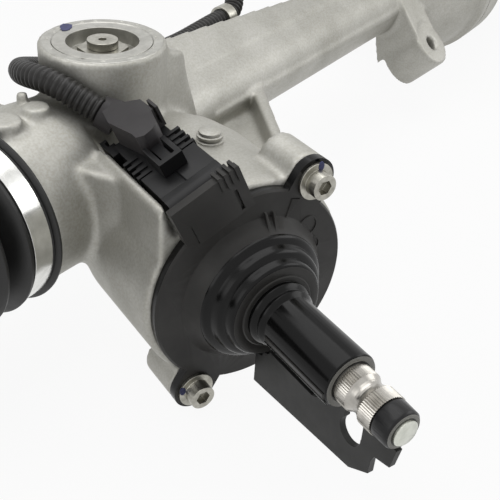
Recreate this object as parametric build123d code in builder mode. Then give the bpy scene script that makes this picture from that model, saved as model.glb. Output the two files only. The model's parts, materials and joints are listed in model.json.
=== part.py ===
from build123d import *
import math
import os

os.makedirs("parts", exist_ok=True)

# Millimetres, +Z up. The origin is where the rack axis (X) meets the yoke axis (Z).
# +X runs along the rack to the belt drive, and the input shaft leaves toward -Y, leaning to -X.

# ---- driving dimensions -------------------------------------------------------------------
rack_radius = 15.0                # round bar
rack_travel = 72.0                # each way from centre
screw_radius = 12.2               # root of the ball screw length
pinion_x = 19.2                   # where the pinion axis crosses under the rack
pinion_drop = 22.0                # pinion axis below the rack axis
pinion_lean = 23.4                # degrees from -Y toward -X, equal to the helix angle
tooth_count = 8
normal_module = 2.2
pressure_angle = 20.0             # degrees, in the normal plane
slide_gap = 0.05                  # radial running clearance of shafts, bearings and bushes
seat_gap = 0.02                   # clearance of parts that are fitted together and stay still
body_gap = 0.3                    # air between parts of different bodies

tube_radius = 21.5                # cast tube round the rack
tube_bore = 17.0
neck_radius = 39.0                # casting at the left boot
left_end_x = -93.0                # face of the left neck
left_stop_x = -66.5               # stop face inside the left neck
stop_bore = 23.0                  # counterbore the inner joint moves into
cuff_seat_radius = 36.5           # turned seat of the boot cuff
cuff_seat_length = 17.0

tower_radius = 30.0
tower_top = 57.4
yoke_bore = 18.0
plug_bore = 23.5
plug_height = 14.0

can_radius = 51.0                 # sensor can round the input shaft, and its front at can_front
can_front = 112.0
can_wall = 8.0
can_floor = 47.0
pinion_case_radius = 26.0
cover_radius = 48.5
cover_thick = 4.5
cover_bolt_circle = 55.0
cover_bolt_angle = 58.7           # degrees from the level line toward +Z
sleeve_front = 186.0
shaft_tip = 217.7
spline_radius = 9.2

case_split_x = 400.0              # joint between the rack housing and the belt cover
bell_radius = 56.0
case_flange = 12.0
motor_offset_y = 92.0             # motor axis beside the rack axis
motor_drop = 8.0                  # and below it
right_end_x = 478.0
right_stop_x = 447.0
bar_left_x = -143.5               # ends of the rack bar
bar_right_x = 524.0
nut_left_x = 340.0                # ball nut
nut_right_x = 414.0

# ---- frames that the pieces are drawn on --------------------------------------------------
lean = math.radians(pinion_lean)
pinion_origin = Vector(pinion_x, 0, -pinion_drop)
pinion_way = Vector(-math.sin(lean), -math.cos(lean), 0)
pinion_side = Vector(math.cos(lean), -math.sin(lean), 0)
motor_z = -motor_drop


def across_rack(x, y=0.0, z=0.0):
    """Plane square to the rack at x: local x is +Y, local y is +Z, normal +X."""
    return Plane(origin=(x, y, z), x_dir=(0, 1, 0), z_dir=(1, 0, 0))


def across_input(d):
    """Plane square to the input shaft, d along it: local x is level, local y is +Z."""
    return Plane(origin=pinion_origin + pinion_way * d, x_dir=pinion_side, z_dir=pinion_way)


def save(piece, name):
    """Label a finished piece and write its STEP file."""
    piece.part.label = name
    export_step(piece.part, f"parts/{name}.step")
    print(name, round(piece.part.volume))


def ring(plane, outer, inner, depth, mode=Mode.ADD):
    """Tube of one length standing on a plane."""
    with BuildSketch(plane) as outline:
        Circle(outer)
        if inner > 0:
            Circle(inner, mode=Mode.SUBTRACT)
    extrude(outline.sketch, amount=depth, mode=mode)


def turned(axis_plane, points, mode=Mode.ADD):
    """Turn a closed outline of (along the axis, radius) points about the axis."""
    with BuildSketch(axis_plane) as outline:
        with BuildLine():
            Polyline(*points, close=True)
        make_face()
    revolve(outline.sketch, axis=Axis(axis_plane.origin, axis_plane.x_dir), mode=mode)


rack_section = Plane(origin=(0, 0, 0), x_dir=(1, 0, 0), z_dir=(0, -1, 0))
input_section = Plane(origin=pinion_origin, x_dir=pinion_way, z_dir=pinion_side)
motor_section = Plane(origin=(0, motor_offset_y, motor_z), x_dir=(1, 0, 0), z_dir=(0, -1, 0))

# ---- rack teeth and pinion teeth ----------------------------------------------------------
tooth_pitch = math.pi * normal_module
helix = math.radians(pinion_lean)
pitch_radius = tooth_count * normal_module / math.cos(helix) / 2
transverse_pressure = math.atan(math.tan(math.radians(pressure_angle)) / math.cos(helix))
base_radius = pitch_radius * math.cos(transverse_pressure)
pinion_addendum = 2.8
rack_addendum = 1.2
tooth_clearance = 0.4
flank_play = 0.14
pitch_line_z = -(pinion_drop - pitch_radius)
rack_tip_z = pitch_line_z - rack_addendum
rack_root_z = pitch_line_z + pinion_addendum + tooth_clearance
pinion_tip_radius = pitch_radius + pinion_addendum
pinion_root_radius = pitch_radius - rack_addendum - tooth_clearance
profile_shift = 0.8
pinion_tooth_width = tooth_pitch / 2 + 2 * profile_shift * math.tan(math.radians(pressure_angle))
rack_tooth_width = tooth_pitch - pinion_tooth_width - flank_play
teeth_left_x = pinion_x - rack_travel - 14.0
rack_teeth = 25
print("pitch line", round(pitch_line_z, 3), "travel per turn", round(tooth_count * tooth_pitch, 3))

# ---- rack bar -----------------------------------------------------------------------------
screw_left_x = nut_left_x + 7.0 - rack_travel    # ball screw length starts here
bar_chamfer = 1.5
socket_stud_radius = 8.0
socket_stud_length = 20.0

with BuildPart() as rack_bar:
    turned(rack_section, [
        (bar_left_x, 0), (bar_left_x, rack_radius - bar_chamfer), (bar_left_x + bar_chamfer, rack_radius),
        (screw_left_x - 3, rack_radius), (screw_left_x, screw_radius),
        (bar_right_x - 1, screw_radius), (bar_right_x, screw_radius - 1), (bar_right_x, 0)])
    with BuildSketch(rack_section):
        with BuildLine():
            half_gap = (tooth_pitch - rack_tooth_width) / 2
            lean_in = math.tan(math.radians(pressure_angle))
            at_tip = half_gap + rack_addendum * lean_in
            at_root = half_gap - (rack_root_z - pitch_line_z) * lean_in
            outline = [(pinion_x - (rack_teeth // 2 + 0.5) * tooth_pitch, -rack_radius - 1)]
            outline.append((outline[0][0], rack_tip_z))
            for tooth in range(rack_teeth):
                gap_x = pinion_x + (tooth - rack_teeth // 2) * tooth_pitch
                outline += [(gap_x - at_tip, rack_tip_z), (gap_x - at_root, rack_root_z),
                            (gap_x + at_root, rack_root_z), (gap_x + at_tip, rack_tip_z)]
            outline.append((pinion_x + (rack_teeth // 2 + 0.5) * tooth_pitch, rack_tip_z))
            outline.append((outline[-1][0], -rack_radius - 1))
            Polyline(*outline, close=True)
        make_face()
    extrude(amount=rack_radius + 1, both=True, mode=Mode.SUBTRACT)
    for end_x, way in ((bar_left_x, 1), (bar_right_x, -1)):
        ring(across_rack(end_x), socket_stud_radius + seat_gap, 0, way * (socket_stud_length + 1), Mode.SUBTRACT)
save(rack_bar, "rack_bar")

# ---- inner ball joints and tie rods, one at each end --------------------------------------
socket_radius = 18.0
ball_radius = 12.0
socket_face = 22.0                # ball centre outside the socket's inner face
liner_wall = 2.2
socket_depth = 8.0                # mouth of the socket beyond the ball centre
rod_radius = 8.0
rod_neck_radius = 6.6
rod_length = 292.0
thread_radius = 7.0               # M14, full diameter where the thread is free
thread_core_radius = 6.2          # under the jam nut, where its own thread fills the groove
rod_thread_length = 72.0
thread_chamfer = 2.0
rod_swing = 20.0                  # degrees up and down
rod_steer = 14.0                  # degrees in the level plane
jam_nut_flats = 22.0
jam_nut_length = 11.0
jam_nut_inset = 8.0               # from the start of the thread
flats_length = 14.0
flats_inset = 12.0                # wrench flats before the thread
small_clip_distance = 92.0        # small end of the boot, from the ball centre
clip_seat_radius = 9.0
thread_start = rod_length - rod_thread_length
free_thread_start = thread_start + jam_nut_inset + jam_nut_length + 1.0


def joint_plane(center_x, way):
    """Section through a ball joint: local x points outward from the ball centre."""
    return Plane(origin=(center_x, 0, 0), x_dir=(way, 0, 0), z_dir=(0, -way, 0))


for side, bar_end, way in (("left", bar_left_x, -1), ("right", bar_right_x, 1)):
    center_x = bar_end + way * socket_face
    section = joint_plane(center_x, way)
    shell_radius = ball_radius + liner_wall
    with BuildPart() as socket:
        turned(section, [
            (-socket_face, 0), (-socket_face, socket_radius - 1.5), (-socket_face + 1.5, socket_radius),
            (socket_depth - 3, socket_radius), (socket_depth, socket_radius - 3.5), (socket_depth, 0)])
        turned(section, [(-socket_face - socket_stud_length, 0),
                         (-socket_face - socket_stud_length, socket_stud_radius - 1),
                         (-socket_face - socket_stud_length + 1, socket_stud_radius),
                         (-socket_face + 1, socket_stud_radius), (-socket_face + 1, 0)])
        with Locations((center_x, 0, 0)):
            Sphere(shell_radius + slide_gap, mode=Mode.SUBTRACT)
        ring(Plane(origin=(center_x, 0, 0), x_dir=(0, 1, 0), z_dir=(way, 0, 0)),
             shell_radius * 0.93, 0, socket_depth + 1, Mode.SUBTRACT)
        for turn in (45, 225):      # wrench flats
            with BuildSketch(across_rack(center_x - way * socket_face)):
                with Locations((0, 0)):
                    Rectangle(60, 8, rotation=turn)
                with Locations((0, 0)):
                    Circle(socket_radius - 1.6, mode=Mode.SUBTRACT)
            extrude(amount=way * 10, mode=Mode.SUBTRACT)
    save(socket, f"{side}_joint_socket")

    with BuildPart() as liner:
        with Locations((center_x, 0, 0)):
            Sphere(shell_radius)
            Sphere(ball_radius + slide_gap, mode=Mode.SUBTRACT)
        far = Plane(origin=(center_x + way * (socket_depth - 1.5), 0, 0), x_dir=(0, 1, 0), z_dir=(way, 0, 0))
        ring(far, 40, 0, 40, Mode.SUBTRACT)
        back = Plane(origin=(center_x - way * 9, 0, 0), x_dir=(0, 1, 0), z_dir=(-way, 0, 0))
        ring(back, 40, 0, 40, Mode.SUBTRACT)
    save(liner, f"{side}_joint_liner")

    with BuildPart() as rod:
        with Locations((center_x, 0, 0)):
            Sphere(ball_radius)
        turned(section, [
            (0, 0), (0, rod_neck_radius), (24, rod_neck_radius), (30, rod_radius),
            (small_clip_distance - 5, rod_radius), (small_clip_distance - 4, clip_seat_radius),
            (small_clip_distance + 4, clip_seat_radius), (small_clip_distance + 5, rod_radius),
            (thread_start, rod_radius), (thread_start + 1, thread_core_radius),
            (free_thread_start, thread_core_radius), (free_thread_start, thread_radius),
            (rod_length - thread_chamfer, thread_radius), (rod_length, thread_radius - thread_chamfer),
            (rod_length, 0)])
        with BuildSketch(across_rack(center_x + way * (thread_start - flats_inset - flats_length))):
            Rectangle(40, 40)
            Rectangle(40, 2 * rod_radius - 3, mode=Mode.SUBTRACT)
        extrude(amount=way * flats_length, mode=Mode.SUBTRACT)
    save(rod, f"{side}_tie_rod")

    with BuildPart() as jam_nut:
        with BuildSketch(across_rack(center_x + way * (thread_start + jam_nut_inset))):
            RegularPolygon(jam_nut_flats / 2, 6, major_radius=False)
            Circle(thread_core_radius + seat_gap, mode=Mode.SUBTRACT)
        extrude(amount=way * jam_nut_length)
    save(jam_nut, f"{side}_jam_nut")

    with BuildPart() as clip:
        clip_x = center_x + way * small_clip_distance
        boot_tail_wall = 1.8
        ring(across_rack(clip_x - 3), clip_seat_radius + boot_tail_wall + 1.2,
             clip_seat_radius + boot_tail_wall + seat_gap, 6)
    save(clip, f"{side}_boot_clip")
left_ball_x = bar_left_x - socket_face
right_ball_x = bar_right_x + socket_face

# ---- pinion and input shaft: stations d along the input axis ------------------------------
pinion_half_face = 17.0
lower_bearing_at = -33.0
lower_bearing_width = 12.0
lower_bearing_radius = 14.0
journal_radius = 8.0
upper_bearing_at = 27.0
upper_bearing_width = 14.0
upper_bearing_radius = 20.0
shaft_radius = 10.0
pinion_top = 66.0
spigot_radius = 6.4
torsion_radius = 2.6
input_radius = 9.0
spline_start = 187.0
waist_start = 193.0
waist_end = 200.5
waist_depth = 1.5
nose_start = 207.5
nose_radius = 5.6
spline_teeth = 54
cover_bore = 12.5


def bearing(plane, outer, inner, width, balls):
    """Ball bearing as separate rings and balls, standing on a plane."""
    middle = (outer + inner) / 2
    ball = (outer - inner) * 0.3
    land = ball * 0.55
    center = plane.offset(width / 2)
    ring(plane, outer, middle + land, width)
    ring(plane, middle - land, inner, width)
    with Locations(center):
        Torus(middle, ball + seat_gap, mode=Mode.SUBTRACT)
        with PolarLocations(middle, balls):
            Sphere(ball)


def gear_outline():
    """Corner points of the pinion's transverse outline, tooth by tooth."""
    involute = math.tan(transverse_pressure) - transverse_pressure
    half_at_pitch = pinion_tooth_width / math.cos(helix) / (2 * pitch_radius)
    flank = []
    for step in range(6):
        r = base_radius + (pinion_tip_radius - base_radius) * step / 5
        at_r = math.acos(base_radius / r)
        flank.append((r, half_at_pitch + involute - math.tan(at_r) + at_r))
    return flank


flank = gear_outline()
with BuildSketch(across_input(-pinion_half_face)) as pinion_face:
    Circle(pinion_root_radius)
    for tooth in range(tooth_count):
        mid = math.pi / 2 + 2 * math.pi * tooth / tooth_count
        left = [(r * math.cos(mid + a), r * math.sin(mid + a)) for r, a in flank]
        right = [(r * math.cos(mid - a), r * math.sin(mid - a)) for r, a in flank]
        root_left = (4 * math.cos(mid + flank[0][1]), 4 * math.sin(mid + flank[0][1]))
        root_right = (4 * math.cos(mid - flank[0][1]), 4 * math.sin(mid - flank[0][1]))
        with BuildLine():
            Line(root_left, left[0])
            Spline(*left)
            ThreePointArc(left[-1], (pinion_tip_radius * math.cos(mid), pinion_tip_radius * math.sin(mid)),
                          right[-1])
            Spline(*reversed(right))
            Line(right[0], root_right)
            Line(root_right, root_left)
        make_face()
twist = math.degrees(math.tan(helix) / pitch_radius)      # degrees of helix per mm
turned_face = pinion_face.sketch.face().rotate(
    Axis(across_input(0).origin, pinion_way), twist * pinion_half_face)
pinion_teeth = Solid.extrude_linear_with_rotation(
    turned_face, across_input(-pinion_half_face).origin,
    pinion_way * (2 * pinion_half_face), -twist * 2 * pinion_half_face)

with BuildPart() as pinion_shaft:
    add(pinion_teeth)
    turned(input_section, [
        (-43, 0), (-43, 6), (-42, 7), (-37, 7), (-37, journal_radius), (-pinion_half_face - 1, journal_radius),
        (-pinion_half_face, pinion_root_radius - 0.4), (pinion_half_face, pinion_root_radius - 0.4),
        (pinion_half_face + 2, shaft_radius), (pinion_top - 1, shaft_radius), (pinion_top, shaft_radius - 1),
        (pinion_top, 0)])
    ring(across_input(20), spigot_radius + slide_gap, 0, pinion_top - 20 + 1, Mode.SUBTRACT)
    ring(across_input(-14), torsion_radius + slide_gap, 0, 40, Mode.SUBTRACT)
save(pinion_shaft, "pinion_shaft")

with BuildPart() as pinion_lower_bearing:
    bearing(across_input(lower_bearing_at), lower_bearing_radius, journal_radius + slide_gap,
            lower_bearing_width, 10)
save(pinion_lower_bearing, "pinion_lower_bearing")

with BuildPart() as pinion_upper_bearing:
    bearing(across_input(upper_bearing_at), upper_bearing_radius, shaft_radius + slide_gap,
            upper_bearing_width, 9)
save(pinion_upper_bearing, "pinion_upper_bearing")

with BuildPart() as pinion_bearing_nut:
    nut_at = upper_bearing_at + upper_bearing_width
    ring(across_input(nut_at), upper_bearing_radius + 1, 13.0, 5.0)
    with BuildSketch(across_input(nut_at + 3)):
        with PolarLocations(17, 4):
            Rectangle(10, 4)
    extrude(amount=3, mode=Mode.SUBTRACT)
save(pinion_bearing_nut, "pinion_bearing_nut")

with BuildPart() as pinion_end_nut:
    with BuildSketch(across_input(-37 - 5.5)):
        RegularPolygon(10, 6, major_radius=False)
        Circle(7 + seat_gap, mode=Mode.SUBTRACT)
    extrude(amount=5.4)
save(pinion_end_nut, "pinion_end_nut")

case_back = -52.0
with BuildPart() as pinion_end_cap:
    ring(across_input(case_back), 17.0, 0, 6.0)
    with BuildSketch(across_input(case_back)):
        RegularPolygon(6, 6, major_radius=False)
    extrude(amount=3, mode=Mode.SUBTRACT)
save(pinion_end_cap, "pinion_end_cap")

with BuildPart() as torsion_bar:
    turned(input_section, [(-13.5, 0), (-13.5, torsion_radius), (15, torsion_radius), (20, torsion_radius - 0.4),
                           (186, torsion_radius - 0.4), (191, torsion_radius), (204, torsion_radius), (204, 0)])
save(torsion_bar, "torsion_bar")

with BuildPart() as input_shaft:
    turned(input_section, [
        (22, 0), (22, spigot_radius), (pinion_top + body_gap, spigot_radius), (pinion_top + body_gap, input_radius),
        *[(waist_start + (waist_end - waist_start) * step / 8,
           input_radius - waist_depth * math.sin(math.pi * step / 8)) for step in range(9)],
        (nose_start, input_radius), (nose_start, nose_radius),
        (shaft_tip - 0.6, nose_radius), (shaft_tip, nose_radius - 0.6), (shaft_tip, 0)])
    spline_root = input_radius - 0.3
    for start, end in ((spline_start, waist_start), (waist_end, nose_start)):
        with BuildSketch(across_input(start)):
            with BuildLine():
                points = []
                for tooth in range(2 * spline_teeth):
                    turn = math.pi * tooth / spline_teeth
                    r = spline_radius if tooth % 2 else spline_root
                    points.append((r * math.cos(turn), r * math.sin(turn)))
                Polyline(*points, close=True)
            make_face()
            Circle(input_radius - 2, mode=Mode.SUBTRACT)
        ring(across_input(start), input_radius + 1, input_radius - 1.4, end - start, Mode.SUBTRACT)
        extrude(amount=end - start)
    ring(across_input(22), torsion_radius + 0.6, 0, 165, Mode.SUBTRACT)
    ring(across_input(180), torsion_radius + seat_gap, 0, 25, Mode.SUBTRACT)
save(input_shaft, "input_shaft")

# ---- torque sensor and its cover ----------------------------------------------------------
cover_front = can_front + cover_thick
hub_front = 136.0
bolt_radius = 4.0                 # M8
bolt_hole = bolt_radius + 0.4
bolt_head = 5.9
bolt_flange = 8.7
ear_radius = 10.5
seat_bore = can_radius - can_wall
bolt_spots = [(cover_bolt_circle * math.cos(math.radians(cover_bolt_angle + turn)),
               cover_bolt_circle * math.sin(math.radians(cover_bolt_angle + turn))) for turn in (0, 180)]

with BuildPart() as sensor_cover:
    turned(input_section, [
        (can_front, cover_bore + seat_gap), (can_front, cover_radius), (cover_front - 1, cover_radius),
        (cover_front, cover_radius - 1), (cover_front, 36), (119, 34), (123, 31.5), (125.5, 29.2), (126, 25.6),
        (129, 24.6), (130.3, 21.4), (133, 20.8), (134.6, 18.8), (hub_front, 17.2),
        (hub_front, cover_bore + seat_gap)])
    with BuildSketch(across_input(can_front)):
        with Locations(*bolt_spots):
            Circle(ear_radius)
        with PolarLocations(cover_bolt_circle - ear_radius, 2, start_angle=cover_bolt_angle):
            Rectangle(2 * ear_radius, 2 * ear_radius)
        Circle(cover_radius - 3, mode=Mode.SUBTRACT)
    extrude(amount=cover_thick)
    with BuildSketch(across_input(can_front)):
        with Locations(*bolt_spots):
            Circle(bolt_hole)
    extrude(amount=cover_thick, mode=Mode.SUBTRACT)
    with BuildSketch(across_input(cover_front - 0.5)):      # pointed rib and two ejector rings
        with BuildLine():
            Polyline((14.2, 31.6), (17.2, 41.2), (21.6, 40.0), close=True)
        make_face()
        for ring_spot, ring_outer in (((27.4, 24.4), 5.0), ((30.8, 13.5), 4.2)):
            with Locations(ring_spot):
                Circle(ring_outer)
                Circle(ring_outer - 0.6, mode=Mode.SUBTRACT)
    extrude(amount=1.0)
    fin_top = 124.2                                         # under the sweep of the key plate
    for turn in (78, 84.5):                                 # twin fins beside the hub
        fin_out = pinion_side * math.cos(math.radians(turn)) + Vector(0, 0, math.sin(math.radians(turn)))
        with BuildSketch(Plane(origin=pinion_origin, x_dir=fin_out, z_dir=fin_out.cross(pinion_way))):
            with BuildLine():
                Polyline((25, cover_front - 0.5), (39, cover_front - 0.5), (38, cover_front + 1),
                         (29.5, fin_top), (25, fin_top), close=True)
            make_face()
        extrude(amount=0.6, both=True)
save(sensor_cover, "sensor_cover")

with BuildPart() as sensor_cover_seal:
    seal_groove = 3.0
    ring(across_input(can_front - seal_groove + 0.1), seat_bore - seat_gap, seat_bore - 2.5, seal_groove - 0.1)
save(sensor_cover_seal, "sensor_cover_seal")

with BuildPart() as sensor_cover_bolts:
    for spot_x, spot_y in bolt_spots:
        for depth, radius, long in ((cover_front - 24, bolt_radius, 24.5), (cover_front, bolt_flange, 1.6),
                                    (cover_front + 1, bolt_head, 6.6)):
            with BuildSketch(across_input(depth)):
                with Locations((spot_x, spot_y)):
                    Circle(radius)
            extrude(amount=long)
        with BuildSketch(across_input(cover_front + 4)):
            with Locations((spot_x, spot_y)):
                RegularPolygon(3, 6, major_radius=False)
        extrude(amount=4, mode=Mode.SUBTRACT)
save(sensor_cover_bolts, "sensor_cover_bolts")

sensor_back = 84.0
rotor_radius = 17.0
with BuildPart() as torque_sensor:
    ring(across_input(sensor_back), seat_bore - seat_gap, rotor_radius + 1.5, can_front - seal_groove - sensor_back)
    ring(across_input(sensor_back + 8), seat_bore - 5, rotor_radius + 6, 20, Mode.SUBTRACT)
save(torque_sensor, "torque_sensor")

with BuildPart() as sensor_rotor:
    ring(across_input(sensor_back - 2), rotor_radius, input_radius + seat_gap, 16)
    ring(across_input(sensor_back + 4), rotor_radius + 1, rotor_radius - 3, 5, Mode.SUBTRACT)
save(sensor_rotor, "sensor_rotor")

with BuildPart() as input_bearing:
    ring(across_input(can_front + 0.5), cover_bore, input_radius + 1.9, 11)
    ring(across_input(can_front + 0.5), input_radius + 1.8, input_radius + slide_gap, 11)
save(input_bearing, "input_bearing")

with BuildPart() as shaft_seal:
    turned(input_section, [
        (126, cover_bore), (126, input_radius + 1.6), (129, input_radius + slide_gap), (131, input_radius + slide_gap),
        (130, input_radius + 2), (133, input_radius + 1.4), (134.5, input_radius + slide_gap),
        (135.5, input_radius + slide_gap), (135.5, cover_bore)])
save(shaft_seal, "shaft_seal")

# ---- sleeve, key plate and nose ring on the input shaft -----------------------------------
sleeve_radius = 12.4
sleeve_back = hub_front + body_gap
with BuildPart() as shaft_sleeve:
    turned(input_section, [
        (sleeve_back, input_radius + seat_gap), (sleeve_back, 15.0), (sleeve_back + 1.6, 15.6), (sleeve_back + 3, 14.6),
        (sleeve_back + 4, 13.6), (sleeve_back + 5.6, 14.2), (sleeve_back + 7, 13.2), (sleeve_back + 8, sleeve_radius),
        (sleeve_front - 0.8, sleeve_radius), (sleeve_front, sleeve_radius - 0.8),
        (sleeve_front, input_radius + seat_gap)])
    with BuildSketch(across_input(sleeve_back + 8)):
        with PolarLocations(sleeve_radius + 0.1, 1, start_angle=212):
            Rectangle(1.6, 4.4)
    extrude(amount=sleeve_front - sleeve_back - 9)
save(shaft_sleeve, "shaft_sleeve")

plate_thick = 3.0
plate_back = hub_front + body_gap
plate_top = -(sleeve_radius + seat_gap)
hole_d, hole_drop, hole_radius = 191.3, -22.0, 6.3
with BuildPart() as key_plate:
    with BuildSketch(Plane(origin=pinion_origin, x_dir=pinion_way, z_dir=(pinion_way.Y, -pinion_way.X, 0))):
        with BuildLine():
            Polyline((plate_back, plate_top), (plate_back, -17.8), (135, -19.5), (133.3, -21.4), (130.6, -22),
                     (129.3, -25.3), (126.4, -26.4), (126.4, -29.8), (124.6, -31), (124.6, -47.8),
                     (193.5, -40.3), (204.5, -33.4), (204.6, -26.2),
                     (206.2, -22.4), (214.5, -20.3), (216.4, -9.9), (213.6, -9.3), (198.5, -11.6),
                     (196.5, -14.2), (190.0, plate_top), close=True)
        make_face()
        with Locations((hole_d, hole_drop)):
            Circle(hole_radius, mode=Mode.SUBTRACT)
        with Locations((hole_d + 1, hole_drop + 7)):        # the hole opens toward the shaft
            Rectangle(11, 12, mode=Mode.SUBTRACT)
    extrude(amount=plate_thick / 2, both=True)
    ring(across_input(plate_back), sleeve_radius + 0.9, 0, 60, Mode.SUBTRACT)
    ring(across_input(sleeve_back), 15.6 + body_gap, 0, 9, Mode.SUBTRACT)
    with BuildSketch(across_input(sleeve_back + 10)):       # foot that clips round the sleeve
        Circle(sleeve_radius + 2.4)
        Circle(sleeve_radius + seat_gap, mode=Mode.SUBTRACT)
        with Locations((0, 12)):
            Rectangle(40, 44, mode=Mode.SUBTRACT)
    extrude(amount=30)
save(key_plate, "key_plate")

with BuildPart() as nose_ring:
    turned(input_section, [(nose_start, nose_radius + seat_gap), (nose_start, 8.2), (nose_start + 1, 8.85),
                           (shaft_tip - 2.2, 8.6), (shaft_tip - 1.2, 7.8), (shaft_tip - 1.2, nose_radius + seat_gap)])
save(nose_ring, "nose_ring")

# ---- sensor connector, plug and harness ---------------------------------------------------
plug_angle = 115.0                # direction of the connector round the input axis
plug_lean = math.radians(plug_angle)
plug_out = Vector(pinion_side * math.cos(plug_lean) + Vector(0, 0, math.sin(plug_lean)))
plug_side = Vector(pinion_side * math.sin(plug_lean) - Vector(0, 0, math.cos(plug_lean)))


def across_plug(d):
    """Plane square to the input axis: local x runs sideways over the plug, local y away from the axis."""
    return Plane(origin=pinion_origin + pinion_way * d, x_dir=plug_side, z_dir=pinion_way)


def over_plug(r):
    """Plane facing away from the input axis at distance r: local x runs along the axis, local y sideways."""
    return Plane(origin=pinion_origin + plug_out * r, x_dir=pinion_way, z_dir=plug_out)


def beside_plug(t):
    """Plane at side t: local x runs along the input axis, local y away from it, normal back over the plug."""
    return Plane(origin=pinion_origin + plug_side * t, x_dir=pinion_way, z_dir=plug_side * -1)


def plug_block(d0, d1, t0, t1, r0, r1, mode=Mode.ADD):
    """Block between stations d0 and d1, sides t0 and t1, and distances r0 and r1 from the axis."""
    with BuildSketch(across_plug(d0)) as outline:
        with Locations(((t0 + t1) / 2, (r0 + r1) / 2)):
            Rectangle(t1 - t0, r1 - r0)
    extrude(outline.sketch, amount=d1 - d0, mode=mode)


base_left, base_right = -17.6, 15.8             # plate on the sensor cover
base_low, base_high = 44.5, 66.0
base_thick = 4.0
socket_left, socket_right = -14.3, 13.3
socket_low, socket_high = 49.0, 62.0
socket_back, socket_front = 86.5, 104.0
socket_wall = 1.6
nose_end = 112.6                                # rounded front of the socket's root
nose_round = 6.0
with BuildPart() as connector_base:
    with BuildSketch(across_plug(cover_front)):
        with BuildLine():
            Polyline((base_left, base_high), (base_left, base_low + 4), (base_left + 4, base_low),
                     (base_right, base_low), (base_right, base_high), close=True)
        make_face()
    extrude(amount=base_thick)
    with BuildSketch(beside_plug(socket_right)):
        with BuildLine():
            Polyline((nose_end, socket_high - nose_round), (nose_end, 52), (socket_front, 52),
                     (socket_front, socket_high), (nose_end - nose_round, socket_high))
            RadiusArc((nose_end - nose_round, socket_high), (nose_end, socket_high - nose_round), nose_round)
        make_face()
    extrude(amount=socket_right - socket_left)
    plug_block(nose_end - 1, cover_front, socket_left + 1.5, socket_right - 1.5, 52, 57)
    for comb in range(4):                       # coding ribs on the plate's upper corner
        tooth_left = base_right - 2.4 - 2.7 * comb
        plug_block(cover_front - 1.2, cover_front + base_thick + 0.8, tooth_left, tooth_left + 1.5,
                   base_high - 6, base_high + 1.4)
    plug_block(cover_front + base_thick - 1.4, cover_front + 6, base_right - 6.2, base_right - 4.6,
               base_low + 1.5, base_low + 12.5, Mode.SUBTRACT)
    plug_block(cover_front + base_thick - 0.6, cover_front + 6, base_left + 4.9, base_left + 5.4,
               base_low + 1, base_low + 10.5, Mode.SUBTRACT)
save(connector_base, "connector_base")

with BuildPart() as sensor_socket:
    plug_block(socket_back, socket_front, socket_left, socket_right, socket_low, socket_high)
    plug_block(socket_back - 1, socket_front - 3, socket_left + socket_wall, socket_right - socket_wall,
               socket_low + socket_wall, socket_high - socket_wall, Mode.SUBTRACT)
    plug_block(socket_front - 9, socket_front, -1.8, -1.2, socket_high - 0.6, socket_high + 1, Mode.SUBTRACT)
save(sensor_socket, "sensor_socket")

plug_left, plug_right = -12.0, 11.0
plug_back = 56.0
plug_low, plug_high = 49.0, 61.5
plug_front = socket_back - body_gap
hood_left, hood_right = -6.6, 4.8
hood_front = 95.5
hood_high = 69.0
rib_pitch = 4.2
with BuildPart() as harness_plug:
    plug_block(plug_back, plug_front, plug_left, plug_right, plug_low, plug_high)
    plug_block(plug_front - 1, socket_front - 5, socket_left + socket_wall + 0.2, socket_right - socket_wall - 0.2,
               socket_low + socket_wall + 0.2, socket_high - socket_wall - 0.2)
    for rib in range(4):                        # grip ribs on both sides
        rib_at = plug_front - 2.0 - rib_pitch * rib
        plug_block(rib_at, rib_at + 1.9, socket_left - 0.7, hood_left - 1.4, plug_low + 4, plug_high + 0.8)
        plug_block(rib_at, rib_at + 1.9, hood_right + 2.6, socket_right + 1, plug_low + 4, plug_high + 0.8)
    plug_block(plug_front - 6, plug_front, hood_left, hood_right, plug_high - 1, hood_high)
    plug_block(plug_front - 6, hood_front, hood_left, hood_right, socket_high + body_gap, hood_high)
    plug_block(plug_front - 7, hood_front - 2.6, hood_left + 2.2, hood_right - 2.2, socket_high + 2.4,
               hood_high + 1, Mode.SUBTRACT)
    plug_block(plug_front - 6, hood_front - 4, hood_left + 3.4, hood_right - 3.4, socket_high + 1,
               hood_high - 1.8)                                                     # latch tongue
    plug_block(plug_back - 7, plug_back + 7, plug_left - 3.2, plug_left, 54, 62)      # side clip
    plug_block(plug_back - 5, plug_back - 1, plug_left - 1.6, plug_left + 1, 53, 63, Mode.SUBTRACT)
    plug_block(plug_back - 4, plug_back + 7, plug_left - 2.2, plug_left + 2, 54, 60)
save(harness_plug, "harness_plug")

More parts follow.
